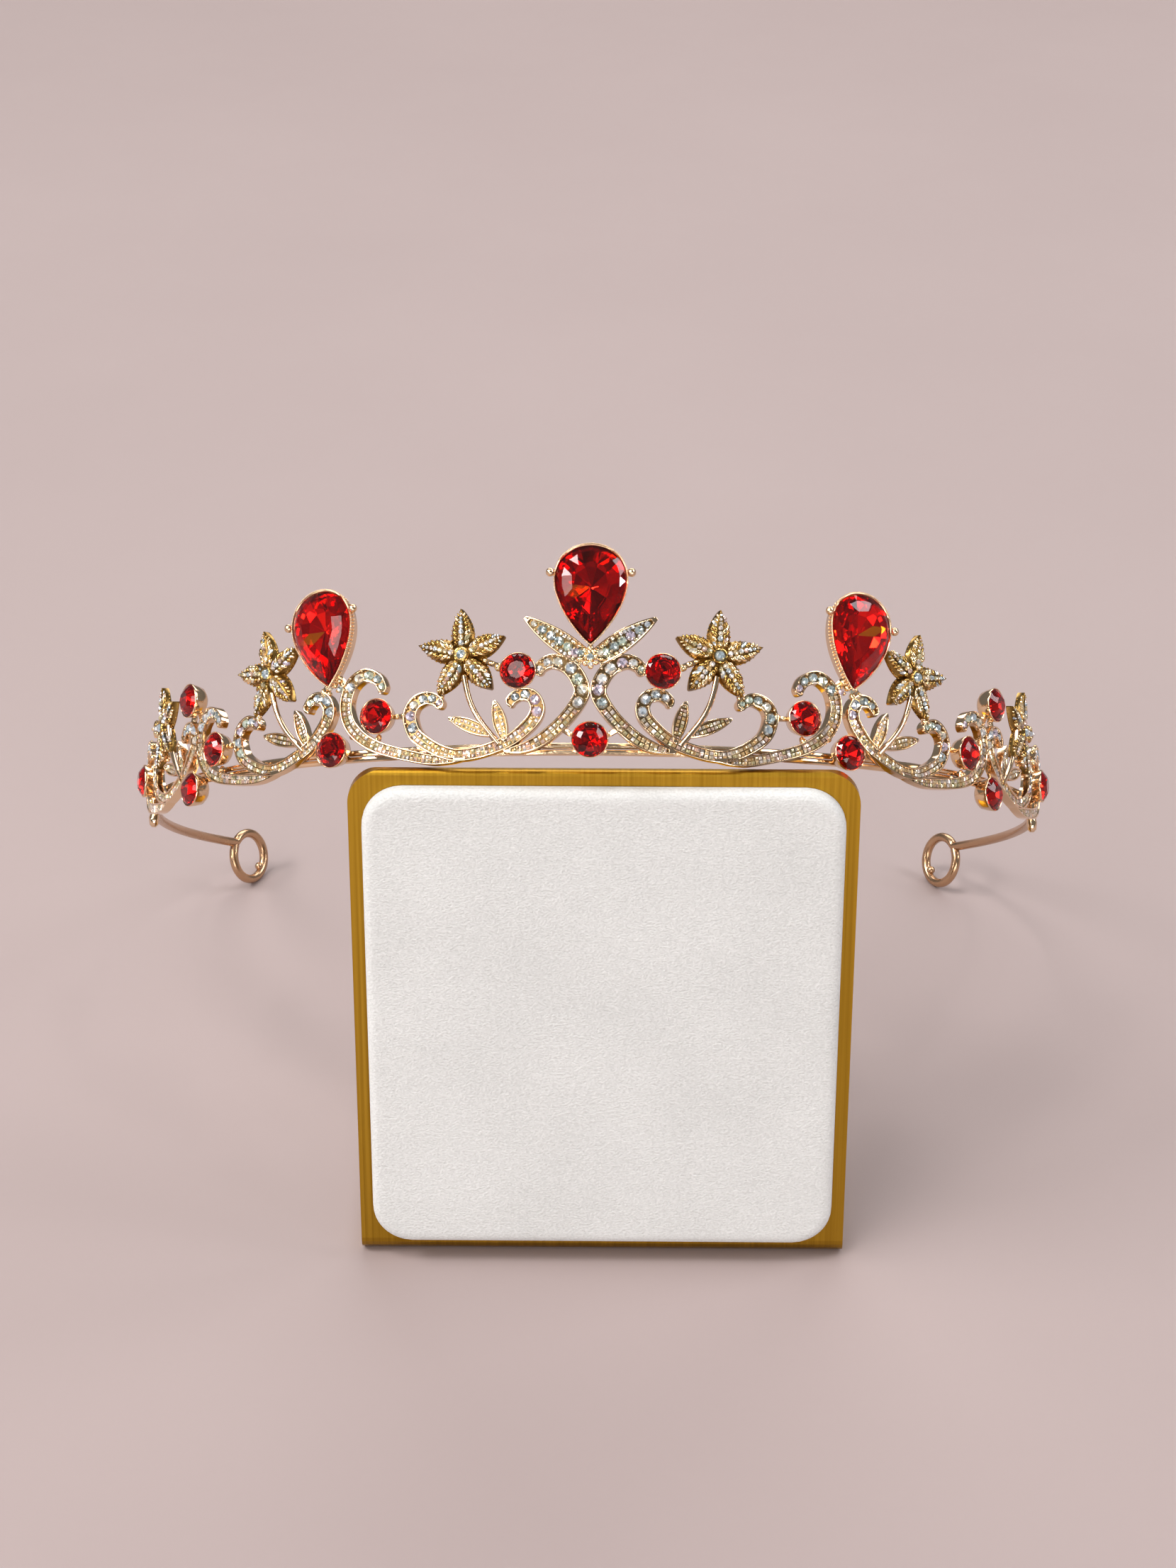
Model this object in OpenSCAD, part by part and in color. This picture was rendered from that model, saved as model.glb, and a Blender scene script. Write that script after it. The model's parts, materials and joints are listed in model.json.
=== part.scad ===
// Tiara of scrolls, flowers and red stones, resting on a padded display stand.
// Millimetres, +Z up. The front faces -Y. The origin is on the surface that the stand
// rests on, under the middle of its foot.

/* [Band] */
// Radius of the band at the middle of the castings' thickness
band_r = 73; // [72:0.5:74]
// Tilt of the band as it rests, its back lower than its front
band_tilt = 40.5; // [40:0.5:41]
// Arc length from the middle to each end of the band
band_end = 99.5; // [99:0.5:101]
// Diameter of the two wires behind the castings
wire_d = 0.9; // [0.8:0.1:1]

/* [Castings] */
// Thickness of the cast scrolls, from back to front
cast_t = 1.4; // [1.3:0.1:1.6]
// Arc length between two side castings
pitch = 31; // [30.5:0.1:31.2]
// Outward turn of the second and third side castings
cast_lean = 8; // [7:0.5:9]
// Length of a flower's petal from the flower's middle
petal_l = 6.6; // [6.2:0.1:6.8]
// Width of a petal
petal_w = 3.4; // [3:0.1:3.6]

/* [Stones] */
// Diameter of the round red stones
round_d = 4.8; // [4.6:0.1:4.8]
// Width of the pear-shaped red stones
pear_w = 10; // [9.6:0.1:10]
// Height of the pear-shaped red stones
pear_h = 14; // [13.6:0.1:14]
// Wall of the cups that hold the stones
cup_wall = 0.35; // [0.3:0.05:0.4]
// Clearance round a stone in its cup
stone_gap = 0.1; // [0.1:0.05:0.15]

/* [Tail wires] */
// Diameter of the wire behind each end of the band
tail_d = 1.6; // [1.4:0.1:1.8]
// Length of the wire from the band's end to its ring
tail_l = 59; // [58:0.5:60]
// Outer diameter of the ring at the wire's end
ring_d = 10; // [9.5:0.1:10.5]

/* [Stand] */
// Width of the plate
plate_w = 73.4; // [71:0.2:74]
// Thickness of the sheet
plate_t = 2; // [1.8:0.1:2.2]
// Lean of the plate, backwards from upright
plate_lean = 10; // [9.5:0.5:10.5]
// Radius of the plate's top corners
plate_corner = 5; // [4:0.5:6]
// Length of the foot behind the plate's front edge
foot_l = 50; // [40:1:56]
// Thickness of the pad
pad_t = 2.4; // [2:0.1:3]
// Radius of the pad's corners
pad_corner = 6; // [5:0.5:7]
// Bare edge of the plate beside the pad
pad_side = 2; // [1.6:0.1:2.4]
// Bare edge of the plate above the pad
pad_top = 2.2; // [2:0.1:2.6]
// Bare edge of the plate below the pad
pad_bottom = 3.4; // [3.1:0.1:3.8]
// Sideways place of the tiara on the stand
tiara_x = -2; // [-3:0.5:3]

/* [Hidden] */

eps = 0.01;
gold = "#e6c793";
red = "#b3061a";
ochre = "#b98a2c";

// Heights of the two wires above the band's lower line, and their place behind the castings
wire_heights = [2.1, 3.05];
wire_back = -(cast_t / 2 + wire_d / 2 - 0.15);
wire_rows = 28;
lug_d = 2.4;
lug_l = 2.5;

// Each side casting turns about this point, and the second and third hang a little lower
pivot_u = 19.2;
leans = [0, cast_lean, cast_lean];
drops = [0, -0.2, -1.2];

// Scrolls, as rows of arc length, height and width of the stroke
centre_scroll = [
    [6.9, 13.4, 0.9], [5.9, 14.8, 1.6], [3.6, 14.8, 2.0], [1.5, 12.6, 2.1], [1.4, 9.8, 2.0],
    [3.6, 6.8, 1.9], [6.4, 4.0, 1.8], [9.6, 2.2, 1.5],
];
flower_scroll = [
    [21.6, 8.6, 0.9], [23.9, 10.1, 1.9], [26.3, 7.7, 2.1], [24.8, 4.2, 2.0], [19.2, 1.8, 1.8],
    [12.4, 3.2, 1.8], [8.5, 6.0, 2.0], [7.3, 8.4, 2.1], [9.1, 10.2, 1.9], [11.4, 8.5, 0.9],
];
hook_scroll = [
    [19.8, 1.1, 1.0], [24.2, 1.5, 1.6], [31.3, 3.5, 1.8], [35.2, 6.1, 2.0], [36.7, 9.3, 2.1],
    [35.9, 12.8, 2.1], [33.0, 14.0, 2.0], [30.4, 11.2, 0.9],
];
flower_stem = [[18.1, 13.0, 0.9], [17.3, 9.8, 0.8], [15.7, 6.7, 0.8], [12.9, 3.4, 0.9]];
stroke_steps = 2;
// Parts of the full thickness that the tucked scrolls, stems and links have
hook_part = 0.95;
stem_part = 0.7;
link_part = 0.8;

// Flowers: the middle, its shift on each side casting, and each petal's turn from straight up
flower_at = [18.4, 16.2];
flower_shifts = [[0, 0], [0, 0], [2.0, -2.9]];
petal_turns = [2, 76, 148, -139, -68];
petal_root = 0.4;
flower_mid_d = 2.8;
flower_mid_t = cast_t + 0.3;

// Leaves, as rows of base, tip and width
leaf_steps = 3;
leaf_blunt = 0.7;
leaf_t = cast_t * 0.75;
vein_t = 0.2;
centre_leaf = [[0.6, 15.4], [9.6, 21.3], 3.0];
stem_leaves = [[[14.0, 4.7], [20.1, 7.1], 1.7], [[12.0, 3.6], [13.6, 9.3], 1.9]];

// Round stones of the centre casting, and of each side casting
centre_round = [0, 3.6];
upper_round = [10.1, 13.5];
hook_round = [31.0, 7.8];
low_round = [38.4, 3.4];
// The round stone that stands where the second pear would
side_top_round = [70.9, 14.3];
// Pears, as rows of the tip and the lean
centre_pear = [[0, 17.3], 0];
side_pear = [[38.6, 12.8], 9.5];

// Depths along the line out of the band: cup floors and rims, and the stones in them
cup_back = -cast_t / 2 - 0.2;
round_floor = 0.4;
round_rim = 1.6;
round_top = 2.6;
pear_back = cup_back + 0.6;
pear_floor = 0.7;
pear_rim = 2.2;
pear_top = 3.9;
girdle_t = 0.3;
// Widths of a stone's floor and table, as parts of its girdle
floor_part = 0.4;
table_part = 0.6;
// Ball claws at a pear's shoulders: the ball, its post and the post's foot
claw_d = 1.5;
claw_post_d = 1.0;
claw_foot = 0.6;
round_cup_r = round_d / 2 + stone_gap + cup_wall;
// Widths of the cups at their backs, as parts of their widths at the rims
round_taper = 0.82;
pear_taper = 0.9;

// Short bars that join neighbours, as rows of two ends and a width
centre_links = [
    [[2.6, 4.6], [4.8, 5.8], 1.0], [[2.4, 14.2], [2.9, 16.6], 1.5], [[12.4, 14.2], [15.4, 15.4], 1.0],
];
middle_links = [[[-1.2, 11.4], [1.2, 11.4], 1.6], [[0, 15.0], [0, 18.2], 1.8]];
side_links = [
    [[27.0, 7.8], [29.4, 8.1], 1.0], [[31.9, 5.6], [32.3, 3.6], 1.2], [[21.9, 8.4], [21.6, 10.6], 1.3],
];
pear_links = [[[36.6, 12.6], [39.2, 14.4], 1.6], [[41.4, 11.6], [39.8, 13.8], 1.6]];
round_links = [[[68.4, 10.2], [69.7, 12.6], 1.4], [[72.6, 10.2], [71.8, 12.2], 1.4]];
low_link = [[36.6, 5.4], [35.0, 6.2], 1.2];
end_bead = [98.6, -0.9];
end_bead_d = 1.6;

// A pear outline is a teardrop, narrower towards its tip by this power
tear = 0.85;
tear_half = atan(sqrt(1 + tear));
tear_norm = sin(2 * tear_half) * pow(sin(tear_half), tear);
tear_step = 18;

// Tail wires: heading along the wire, and the ring that its end is bent into
tail_v = (wire_heights[0] + wire_heights[1]) / 2;
tail_turn = 45;
tail_gather = 1.6;
tail_rows = 12;
ring_mid = (ring_d - tail_d) / 2;
ring_start = 150;
ring_stop = -192;
ring_step = 18;
tail_sides = 8;

// Where the tiara rests: its rings touch the floor and its castings the plate's top edge
ring_heading = bend(band_end) + tail_turn;
ring_plan = tail_point(1) + ring_mid * cos(180 - ring_start) * heading_dir(ring_heading);
ring_v = tail_v - ring_mid * sin(ring_start);
ring_reach = norm([sin(band_tilt) * sin(ring_heading), cos(band_tilt)]);
tiara_z = ring_plan[1] * sin(band_tilt) - ring_v * cos(band_tilt) + ring_mid * ring_reach + tail_d / 2;
rest_drop = 2.4;
rest_behind = 2.3;
plate_h = (tiara_z - rest_drop) / cos(plate_lean);
bend_r = 2.5;
edge_r = 0.7;
bend_start = bend_r / tan((90 - plate_lean) / 2);
front_y = -(bend_start + foot_l) / 2;
tiara_y = front_y + plate_h * sin(plate_lean) - rest_behind;

function bend(u) = u / band_r * 180 / PI;
function heading_dir(a) = [cos(a), sin(a)];
function band_point(u, v, out) = let (r = band_r + out, a = bend(u)) [r * sin(a), band_r - r * cos(a), v];

// A point of side casting k, turned about its pivot and shifted along the band
function cast_uv(k, p) = let (a = leans[k], x = p[0] - pivot_u, y = p[1])
    [pivot_u + k * pitch + x * cos(a) + y * sin(a), drops[k] - x * sin(a) + y * cos(a)];
function cast_row(k, row) = let (p = cast_uv(k, row)) [p[0], p[1], row[2]];

// A smooth curve through every row of a table
function mix4(a, b, c, d, t) =
    (2 * b + (c - a) * t + (2 * a - 5 * b + 4 * c - d) * t * t + (3 * b - a - 3 * c + d) * t * t * t) / 2;
function smooth_rows(rows, steps) = let (last = len(rows) - 1) concat(
    [for (i = [0:last - 1]) for (j = [0:steps - 1])
        mix4(rows[max(i - 1, 0)], rows[i], rows[i + 1], rows[min(i + 2, last)], j / steps)],
    [rows[last]]);
function unit(v) = v / norm(v);
function along(pts, i) = unit(pts[min(i + 1, len(pts) - 1)] - pts[max(i - 1, 0)]);

// Teardrop outline of a width and height, its middle at the origin and its tip down
function pear_outline(w, h) = [for (t = [0:tear_step:360 - tear_step])
    [w / 2 * sin(t) * pow(sin(t / 2), tear) / tear_norm, -h / 2 * cos(t)]];
function leaf_side(l, w, i) = let (t = i / leaf_steps) [l * t, w / 2 * pow(sin(180 * t), leaf_blunt)];
function leaf_outline(l, w) = concat(
    [for (i = [0:leaf_steps]) leaf_side(l, w, i)],
    [for (i = [leaf_steps - 1:-1:1]) leaf_side(l, -w, i)]);

// Plan of a tail wire: its heading turns faster towards its end
function tail_heading(t) = bend(band_end) + tail_turn * pow(t, tail_gather);
function tail_sum(n) = n == 0 ? [0, 0]
    : tail_sum(n - 1) + tail_l / tail_rows * heading_dir(tail_heading((n - 0.5) / tail_rows));
function tail_point(t) = let (p = band_point(band_end, 0, wire_back))
    [p[0], p[1]] + tail_sum(round(t * tail_rows));

// Skin over rings of points, closed at both ends
module skin(rings) {
    n = len(rings[0]);
    last = len(rings) - 1;
    polyhedron(
        points = [for (ring = rings) each ring],
        faces = concat(
            [[for (j = [0:n - 1]) j]],
            [for (i = [0:last - 1]) for (j = [0:n - 1]) let (k = (j + 1) % n)
                [i * n + j, (i + 1) * n + j, (i + 1) * n + k, i * n + k]],
            [[for (j = [n - 1:-1:0]) last * n + j]]),
        convexity = 8);
}

// Flat stroke of the casting that follows rows of arc length, height and width, thin by a part
module stroke(rows, part = 1) {
    pts = [for (r = rows) [r[0], r[1]]];
    t = cast_t / 2 * part;
    skin([for (i = [0:len(rows) - 1])
        let (d = along(pts, i), side = [-d[1], d[0]] * rows[i][2] / 2, a = pts[i] + side, b = pts[i] - side)
        [band_point(a[0], a[1], t), band_point(b[0], b[1], t),
         band_point(b[0], b[1], -t), band_point(a[0], a[1], -t)]]);
}

module link(a, b, w) stroke([[a[0], a[1], w], [b[0], b[1], w]], link_part);

// Stand a piece on the band, its own X along the band, Y up and Z out of it
module on_band(p, turn = 0)
    translate([0, band_r, 0]) rotate(bend(p[0])) translate([0, -band_r, p[1]])
        rotate([90, 0, 0]) rotate([0, 0, -turn]) children();

module both_sides() {
    children();
    mirror([1, 0, 0]) children();
}

// Leaf or petal with a raised middle vein, along X from its base
module leaf(l, w) hull() {
    translate([0, 0, -cast_t / 2]) linear_extrude(leaf_t) polygon(leaf_outline(l, w));
    translate([l * 0.12, 0, cast_t / 2]) linear_extrude(vein_t)
        polygon([[0, 0], [l * 0.35, w * 0.16], [l * 0.7, 0], [l * 0.35, -w * 0.16]]);
}

module leaf_between(a, b, w) let (d = b - a)
    on_band(a, 0) rotate([0, 0, atan2(d[1], d[0])]) leaf(norm(d), w);

module flower() {
    for (a = petal_turns) rotate([0, 0, 90 - a]) translate([petal_root, 0, 0])
        leaf(petal_l - petal_root, petal_w);
    translate([0, 0, -cast_t * 0.4]) cylinder(d = flower_mid_d, h = flower_mid_t, $fn = 8);
}

module round_cup() difference() {
    translate([0, 0, cup_back])
        cylinder(r1 = round_cup_r * round_taper, r2 = round_cup_r, h = round_rim - cup_back, $fn = 12);
    translate([0, 0, round_floor]) cylinder(r = round_cup_r - cup_wall, h = round_rim, $fn = 12);
}

// A pear's cup stands on its tip, and two ball claws hold the stone's shoulders
module pear_cup() translate([0, pear_h / 2, 0]) {
    grow = 2 * (stone_gap + cup_wall);
    difference() {
        translate([0, 0, pear_back]) linear_extrude(pear_rim - pear_back, scale = 1 / pear_taper)
            polygon(pear_outline(pear_taper * (pear_w + grow), pear_taper * (pear_h + 1.4 * grow)));
        translate([0, 0, pear_floor]) linear_extrude(pear_rim)
            polygon(pear_outline(pear_w + 2 * stone_gap, pear_h + 2.8 * stone_gap));
    }
    for (s = [-1, 1]) translate([s * (pear_w + claw_d) / 2, pear_h / 4, 0]) {
        translate([0, 0, claw_foot]) cylinder(d = claw_post_d, h = pear_rim + 0.2 - claw_foot, $fn = 6);
        translate([0, 0, pear_rim + 0.2]) sphere(d = claw_d, $fn = 8);
    }
}

module side_casting(k) {
    stroke(smooth_rows([for (r = flower_scroll) cast_row(k, r)], stroke_steps));
    stroke(smooth_rows([for (r = hook_scroll) cast_row(k, r)], stroke_steps), hook_part);
    stroke([for (r = flower_stem) cast_row(k, r)], stem_part);
    for (l = stem_leaves) leaf_between(cast_uv(k, l[0]), cast_uv(k, l[1]), l[2]);
    for (l = side_links) link(cast_uv(k, l[0]), cast_uv(k, l[1]), l[2]);
    on_band(cast_uv(k, flower_at) + flower_shifts[k], leans[k]) flower();
    on_band(cast_uv(k, hook_round)) round_cup();
    if (k < 2) {
        link(cast_uv(k, low_link[0]), cast_uv(k, low_link[1]), low_link[2]);
        on_band(cast_uv(k, low_round)) round_cup();
    }
}

module centre_casting() {
    both_sides() {
        stroke(smooth_rows(centre_scroll, stroke_steps));
        leaf_between(centre_leaf[0], centre_leaf[1], centre_leaf[2]);
        on_band(upper_round) round_cup();
        for (l = centre_links) link(l[0], l[1], l[2]);
    }
    for (l = middle_links) link(l[0], l[1], l[2]);
    on_band(centre_round) round_cup();
    on_band(centre_pear[0], centre_pear[1]) pear_cup();
}

// A round bar along the band's curve, from one arc length to another
module band_bar(v, d, from, to, rows, sides) skin([for (i = [0:rows])
    [for (j = [0:sides - 1]) let (q = (j + 0.5) * 360 / sides)
        band_point(from + (to - from) * i / rows, v + d / 2 * cos(q), wire_back + d / 2 * sin(q))]]);

module lace() color(gold) rest_pose() {
    centre_casting();
    both_sides() {
        for (k = [0:2]) side_casting(k);
        on_band(side_pear[0], side_pear[1]) pear_cup();
        on_band(side_top_round) round_cup();
        for (l = concat(pear_links, round_links)) link(l[0], l[1], l[2]);
        link(end_bead, [end_bead[0] - 0.4, tail_v], 0.9);
        band_bar(tail_v, lug_d, band_end - lug_l, band_end, 1, 8);
        on_band(end_bead) translate([0, 0, wire_back]) cylinder(d = end_bead_d, h = cast_t, $fn = 8);
    }
    for (v = wire_heights) band_bar(v, wire_d, 1 - band_end, band_end - 1, wire_rows, 4);
}

// One wire: straight off the band's end, curving inwards, then bent round into a ring
module tail_wire() {
    out = heading_dir(ring_heading);
    flat = [out[1], -out[0], 0];
    centre = [ring_plan[0], ring_plan[1], ring_v];
    straight = [for (i = [0:tail_rows]) let (p = tail_point(i / tail_rows)) [p[0], p[1], tail_v]];
    ring = [for (a = [ring_start - ring_step:-ring_step:ring_stop])
        centre + ring_mid * [out[0] * cos(a), out[1] * cos(a), sin(a)]];
    pts = concat(straight, ring);
    skin([for (i = [0:len(pts) - 1])
        let (t = i == 0 ? unit(concat(heading_dir(tail_heading(0)), 0)) : along(pts, i),
             a = unit(flat - (flat * t) * t), b = cross(t, a))
        [for (q = [0:360 / tail_sides:359]) pts[i] + tail_d / 2 * (a * cos(q) + b * sin(q))]]);
}

// Red stones: a small flat under, a thin girdle and a flat table on top
module round_stone() color(red) {
    r = round_d / 2;
    mid = round_rim - girdle_t;
    rotate_extrude($fn = 48) polygon([
        [0, round_floor], [r * floor_part, round_floor], [r, mid], [r, mid + girdle_t],
        [r * table_part, round_top], [0, round_top],
    ]);
}

module pear_slice(scale_by, z, t)
    translate([0, 0, z]) linear_extrude(t) polygon(pear_outline(pear_w * scale_by, pear_h * scale_by));

module pear_stone() color(red) translate([0, pear_h / 2, 0]) hull() {
    pear_slice(floor_part, pear_floor, eps);
    pear_slice(1, pear_rim - girdle_t, girdle_t);
    pear_slice(table_part, pear_top - eps, eps);
}

module rest_pose() translate([tiara_x, tiara_y, tiara_z]) rotate([-band_tilt, 0, 0]) children();
module set_stone(side, p, turn = 0) rest_pose() mirror([side < 0 ? 1 : 0, 0, 0]) on_band(p, turn) children();

// The round stones of one side, from the middle outwards
function side_round(i) = [
    upper_round, cast_uv(0, hook_round), cast_uv(0, low_round), cast_uv(1, hook_round), side_top_round,
    cast_uv(1, low_round), cast_uv(2, hook_round),
][i - 1];

// Sheet bent into a plate and a foot, as a section across the stand, its corner at zero
function plate_yz(x, y) = [
    x * cos(plate_lean) + y * sin(plate_lean), y * cos(plate_lean) - x * sin(plate_lean),
];
function bend_arc(r, from, to) = let (c = [bend_start, bend_r])
    [for (i = [0:6]) let (a = from + (to - from) * i / 6) c + r * [cos(a), sin(a)]];

module plate_section() polygon(concat(
    [[foot_l, 0]],
    bend_arc(bend_r, 270, 180 - plate_lean),
    [for (a = [180:-30:90]) plate_yz(edge_r + edge_r * cos(a), plate_h - edge_r + edge_r * sin(a))],
    [for (a = [90:-30:0]) plate_yz(plate_t - edge_r + edge_r * cos(a), plate_h - edge_r + edge_r * sin(a))],
    bend_arc(bend_r - plate_t, 180 - plate_lean, 270),
    [[foot_l, plate_t]]));

// Flat sheet with four round corners, from one height to another
module rounded_sheet(w, low, high, r, t) {
    translate([-w / 2, low + r, 0]) cube([w, high - low - 2 * r, t]);
    translate([-w / 2 + r, low, 0]) cube([w - 2 * r, high - low, t]);
    for (x = [r - w / 2, w / 2 - r], y = [low + r, high - r]) translate([x, y, 0])
        cylinder(r = r, h = t, $fn = 64);
}

// Outline seen square to the plate: round top corners, and straight sides down to the foot
module plate_outline(t) {
    straight_h = plate_h - plate_corner;
    translate([-plate_w / 2, -foot_l, 0]) cube([plate_w, foot_l + straight_h, t]);
    translate([-plate_w / 2 + plate_corner, 0, 0]) cube([plate_w - 2 * plate_corner, plate_h + 1, t]);
    for (s = [-1, 1]) translate([s * (plate_w / 2 - plate_corner), straight_h, 0])
        cylinder(r = plate_corner, h = t, $fn = 64);
}

module stand_plate() color(ochre) translate([0, front_y, 0]) intersection() {
    rotate([90, 0, 90]) translate([0, 0, -plate_w / 2]) linear_extrude(plate_w) plate_section();
    rotate([90 - plate_lean, 0, 0]) translate([0, 0, -foot_l - 10]) plate_outline(foot_l + 20);
}

module stand_pad() color("#f1ede8") translate([0, front_y, 0]) rotate([90 - plate_lean, 0, 0])
    rounded_sheet(plate_w - 2 * pad_side, pad_bottom, plate_h - pad_top, pad_corner, pad_t);

lace();
color(gold) rest_pose() mirror([1, 0, 0]) tail_wire();  // tail_wire_left
color(gold) rest_pose() tail_wire();  // tail_wire_right
set_stone(1, centre_pear[0]) pear_stone();  // pear_stone_centre
set_stone(-1, side_pear[0], side_pear[1]) pear_stone();  // pear_stone_left
set_stone(1, side_pear[0], side_pear[1]) pear_stone();  // pear_stone_right
set_stone(1, centre_round) round_stone();  // round_stone_centre
set_stone(-1, side_round(1)) round_stone();  // round_stone_left_1
set_stone(-1, side_round(2)) round_stone();  // round_stone_left_2
set_stone(-1, side_round(3)) round_stone();  // round_stone_left_3
set_stone(-1, side_round(4)) round_stone();  // round_stone_left_4
set_stone(-1, side_round(5)) round_stone();  // round_stone_left_5
set_stone(-1, side_round(6)) round_stone();  // round_stone_left_6
set_stone(-1, side_round(7)) round_stone();  // round_stone_left_7
set_stone(1, side_round(1)) round_stone();  // round_stone_right_1
set_stone(1, side_round(2)) round_stone();  // round_stone_right_2
set_stone(1, side_round(3)) round_stone();  // round_stone_right_3
set_stone(1, side_round(4)) round_stone();  // round_stone_right_4
set_stone(1, side_round(5)) round_stone();  // round_stone_right_5
set_stone(1, side_round(6)) round_stone();  // round_stone_right_6
set_stone(1, side_round(7)) round_stone();  // round_stone_right_7
stand_plate();
stand_pad();
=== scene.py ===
# %% [markdown]
# # A scrollwork tiara on its display stand
# This lesson dresses a finished construction model. The construction holds every piece at its real
# size, and the script keeps to it: each piece below is made where the construction says, with the
# fine detail that construction leaves out, such as rims, claws, cut stones and brushed metal.

# %% Load the construction
import json
import math
import random
import bmesh
import bpy
import numpy as np
from mathutils import Matrix, Vector


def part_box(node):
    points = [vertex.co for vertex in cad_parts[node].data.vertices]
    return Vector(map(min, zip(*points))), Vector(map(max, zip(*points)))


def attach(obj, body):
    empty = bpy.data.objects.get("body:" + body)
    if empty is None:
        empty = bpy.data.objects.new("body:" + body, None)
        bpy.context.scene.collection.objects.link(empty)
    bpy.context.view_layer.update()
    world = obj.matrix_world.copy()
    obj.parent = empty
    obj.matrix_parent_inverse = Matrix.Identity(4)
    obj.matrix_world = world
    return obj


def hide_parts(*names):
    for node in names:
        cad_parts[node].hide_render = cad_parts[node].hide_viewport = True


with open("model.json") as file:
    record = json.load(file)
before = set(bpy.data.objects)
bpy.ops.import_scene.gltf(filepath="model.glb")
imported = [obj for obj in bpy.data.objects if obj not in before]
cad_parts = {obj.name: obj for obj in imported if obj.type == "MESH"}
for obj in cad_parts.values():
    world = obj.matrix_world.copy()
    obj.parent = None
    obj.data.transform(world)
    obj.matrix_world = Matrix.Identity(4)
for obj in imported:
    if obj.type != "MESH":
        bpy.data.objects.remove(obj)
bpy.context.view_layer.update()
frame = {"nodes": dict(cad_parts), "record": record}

# %% [markdown]
# ## The band as a ruler
# A tiara is cast flat and then bent round a mandrel. So the metalwork is drawn flat here too: u runs
# along the band from its middle, v up from its lower edge and out towards the viewer, in millimetres.
# Bending is then one formula. The record's head seat gives the circle's middle and how far it leans.

# %% Bend the flat drawing round the band
MM = 0.001
BAND_R = 73.0
BAND_END = 99.5
seat = next(m for m in frame["record"]["mounts"] if m["name"] == "head_seat")
seat_place = Vector(seat["pos_m"])
band_up = -Vector(seat["axis"]).normalized()
band_right = Vector((1, 0, 0))
band_back = band_up.cross(band_right)
band_lean = math.atan2(band_up.y, band_up.z)


def tiara_point(x, y, z):
    """A place in the tiara's own millimetres, y running back from the front, in the scene."""
    return seat_place + (band_right * x + band_back * (y - BAND_R) + band_up * z) * MM


def band_point(u, v, out):
    a, r = u / BAND_R, BAND_R + out
    return tiara_point(r * math.sin(a), BAND_R - r * math.cos(a), v)


def band_matrix(u, v, out=0.0, turn=0.0, size=1.0):
    """Stands a small thing on the band: its own X along the band, Y up, Z out of it."""
    a = u / BAND_R
    along = band_right * math.cos(a) + band_back * math.sin(a)
    axes = Matrix((along, band_up, along.cross(band_up))).transposed().to_4x4()
    return (Matrix.Translation(band_point(u, v, out)) @ axes
            @ Matrix.Rotation(-math.radians(turn), 4, "Z") @ Matrix.Scale(size * MM, 4))


def onto_band(bm, sign):
    """Bends a flat drawing round the band, on the right for 1 and mirrored to the left for -1."""
    for vert in bm.verts:
        vert.co = band_point(sign * vert.co.x, vert.co.y, vert.co.z)
    if sign < 0:
        bmesh.ops.reverse_faces(bm, faces=bm.faces)


print("band leans", round(math.degrees(band_lean), 1), "degrees; its front is at",
      [round(n, 4) for n in band_point(0, 0, 0)])

# %% [markdown]
# ## Castings repeat
# Each side has the same casting three times. The second and third are turned outwards a little and
# hang lower, as the photograph shows. One matrix says so, and everything on a casting goes through it.

# %% Place a casting
PITCH = 31.0
PIVOT_U = 19.2
LEANS = (0.0, 8.0, 8.0)
DROPS = (0.0, -0.2, -1.2)
SIDES = {"right": 1, "left": -1}


def cast_matrix(k):
    return (Matrix.Translation((PIVOT_U + k * PITCH, DROPS[k], 0))
            @ Matrix.Rotation(-math.radians(LEANS[k]), 4, "Z") @ Matrix.Translation((-PIVOT_U, 0, 0)))


def cast_uv(k, place):
    return (cast_matrix(k) @ Vector((place[0], place[1], 0))).to_2d()


print("castings start at u =", [round(cast_uv(k, (7, 8))[0], 1) for k in range(3)])

# %% [markdown]
# ## Materials as sums
# A shader is a sum of nodes, and it reads best as one. This small class wraps a socket, so that
# noise * 0.3 + 0.1 adds the two Math nodes itself. node() makes any other node, and feed() gives a
# node's sockets their values.


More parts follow.
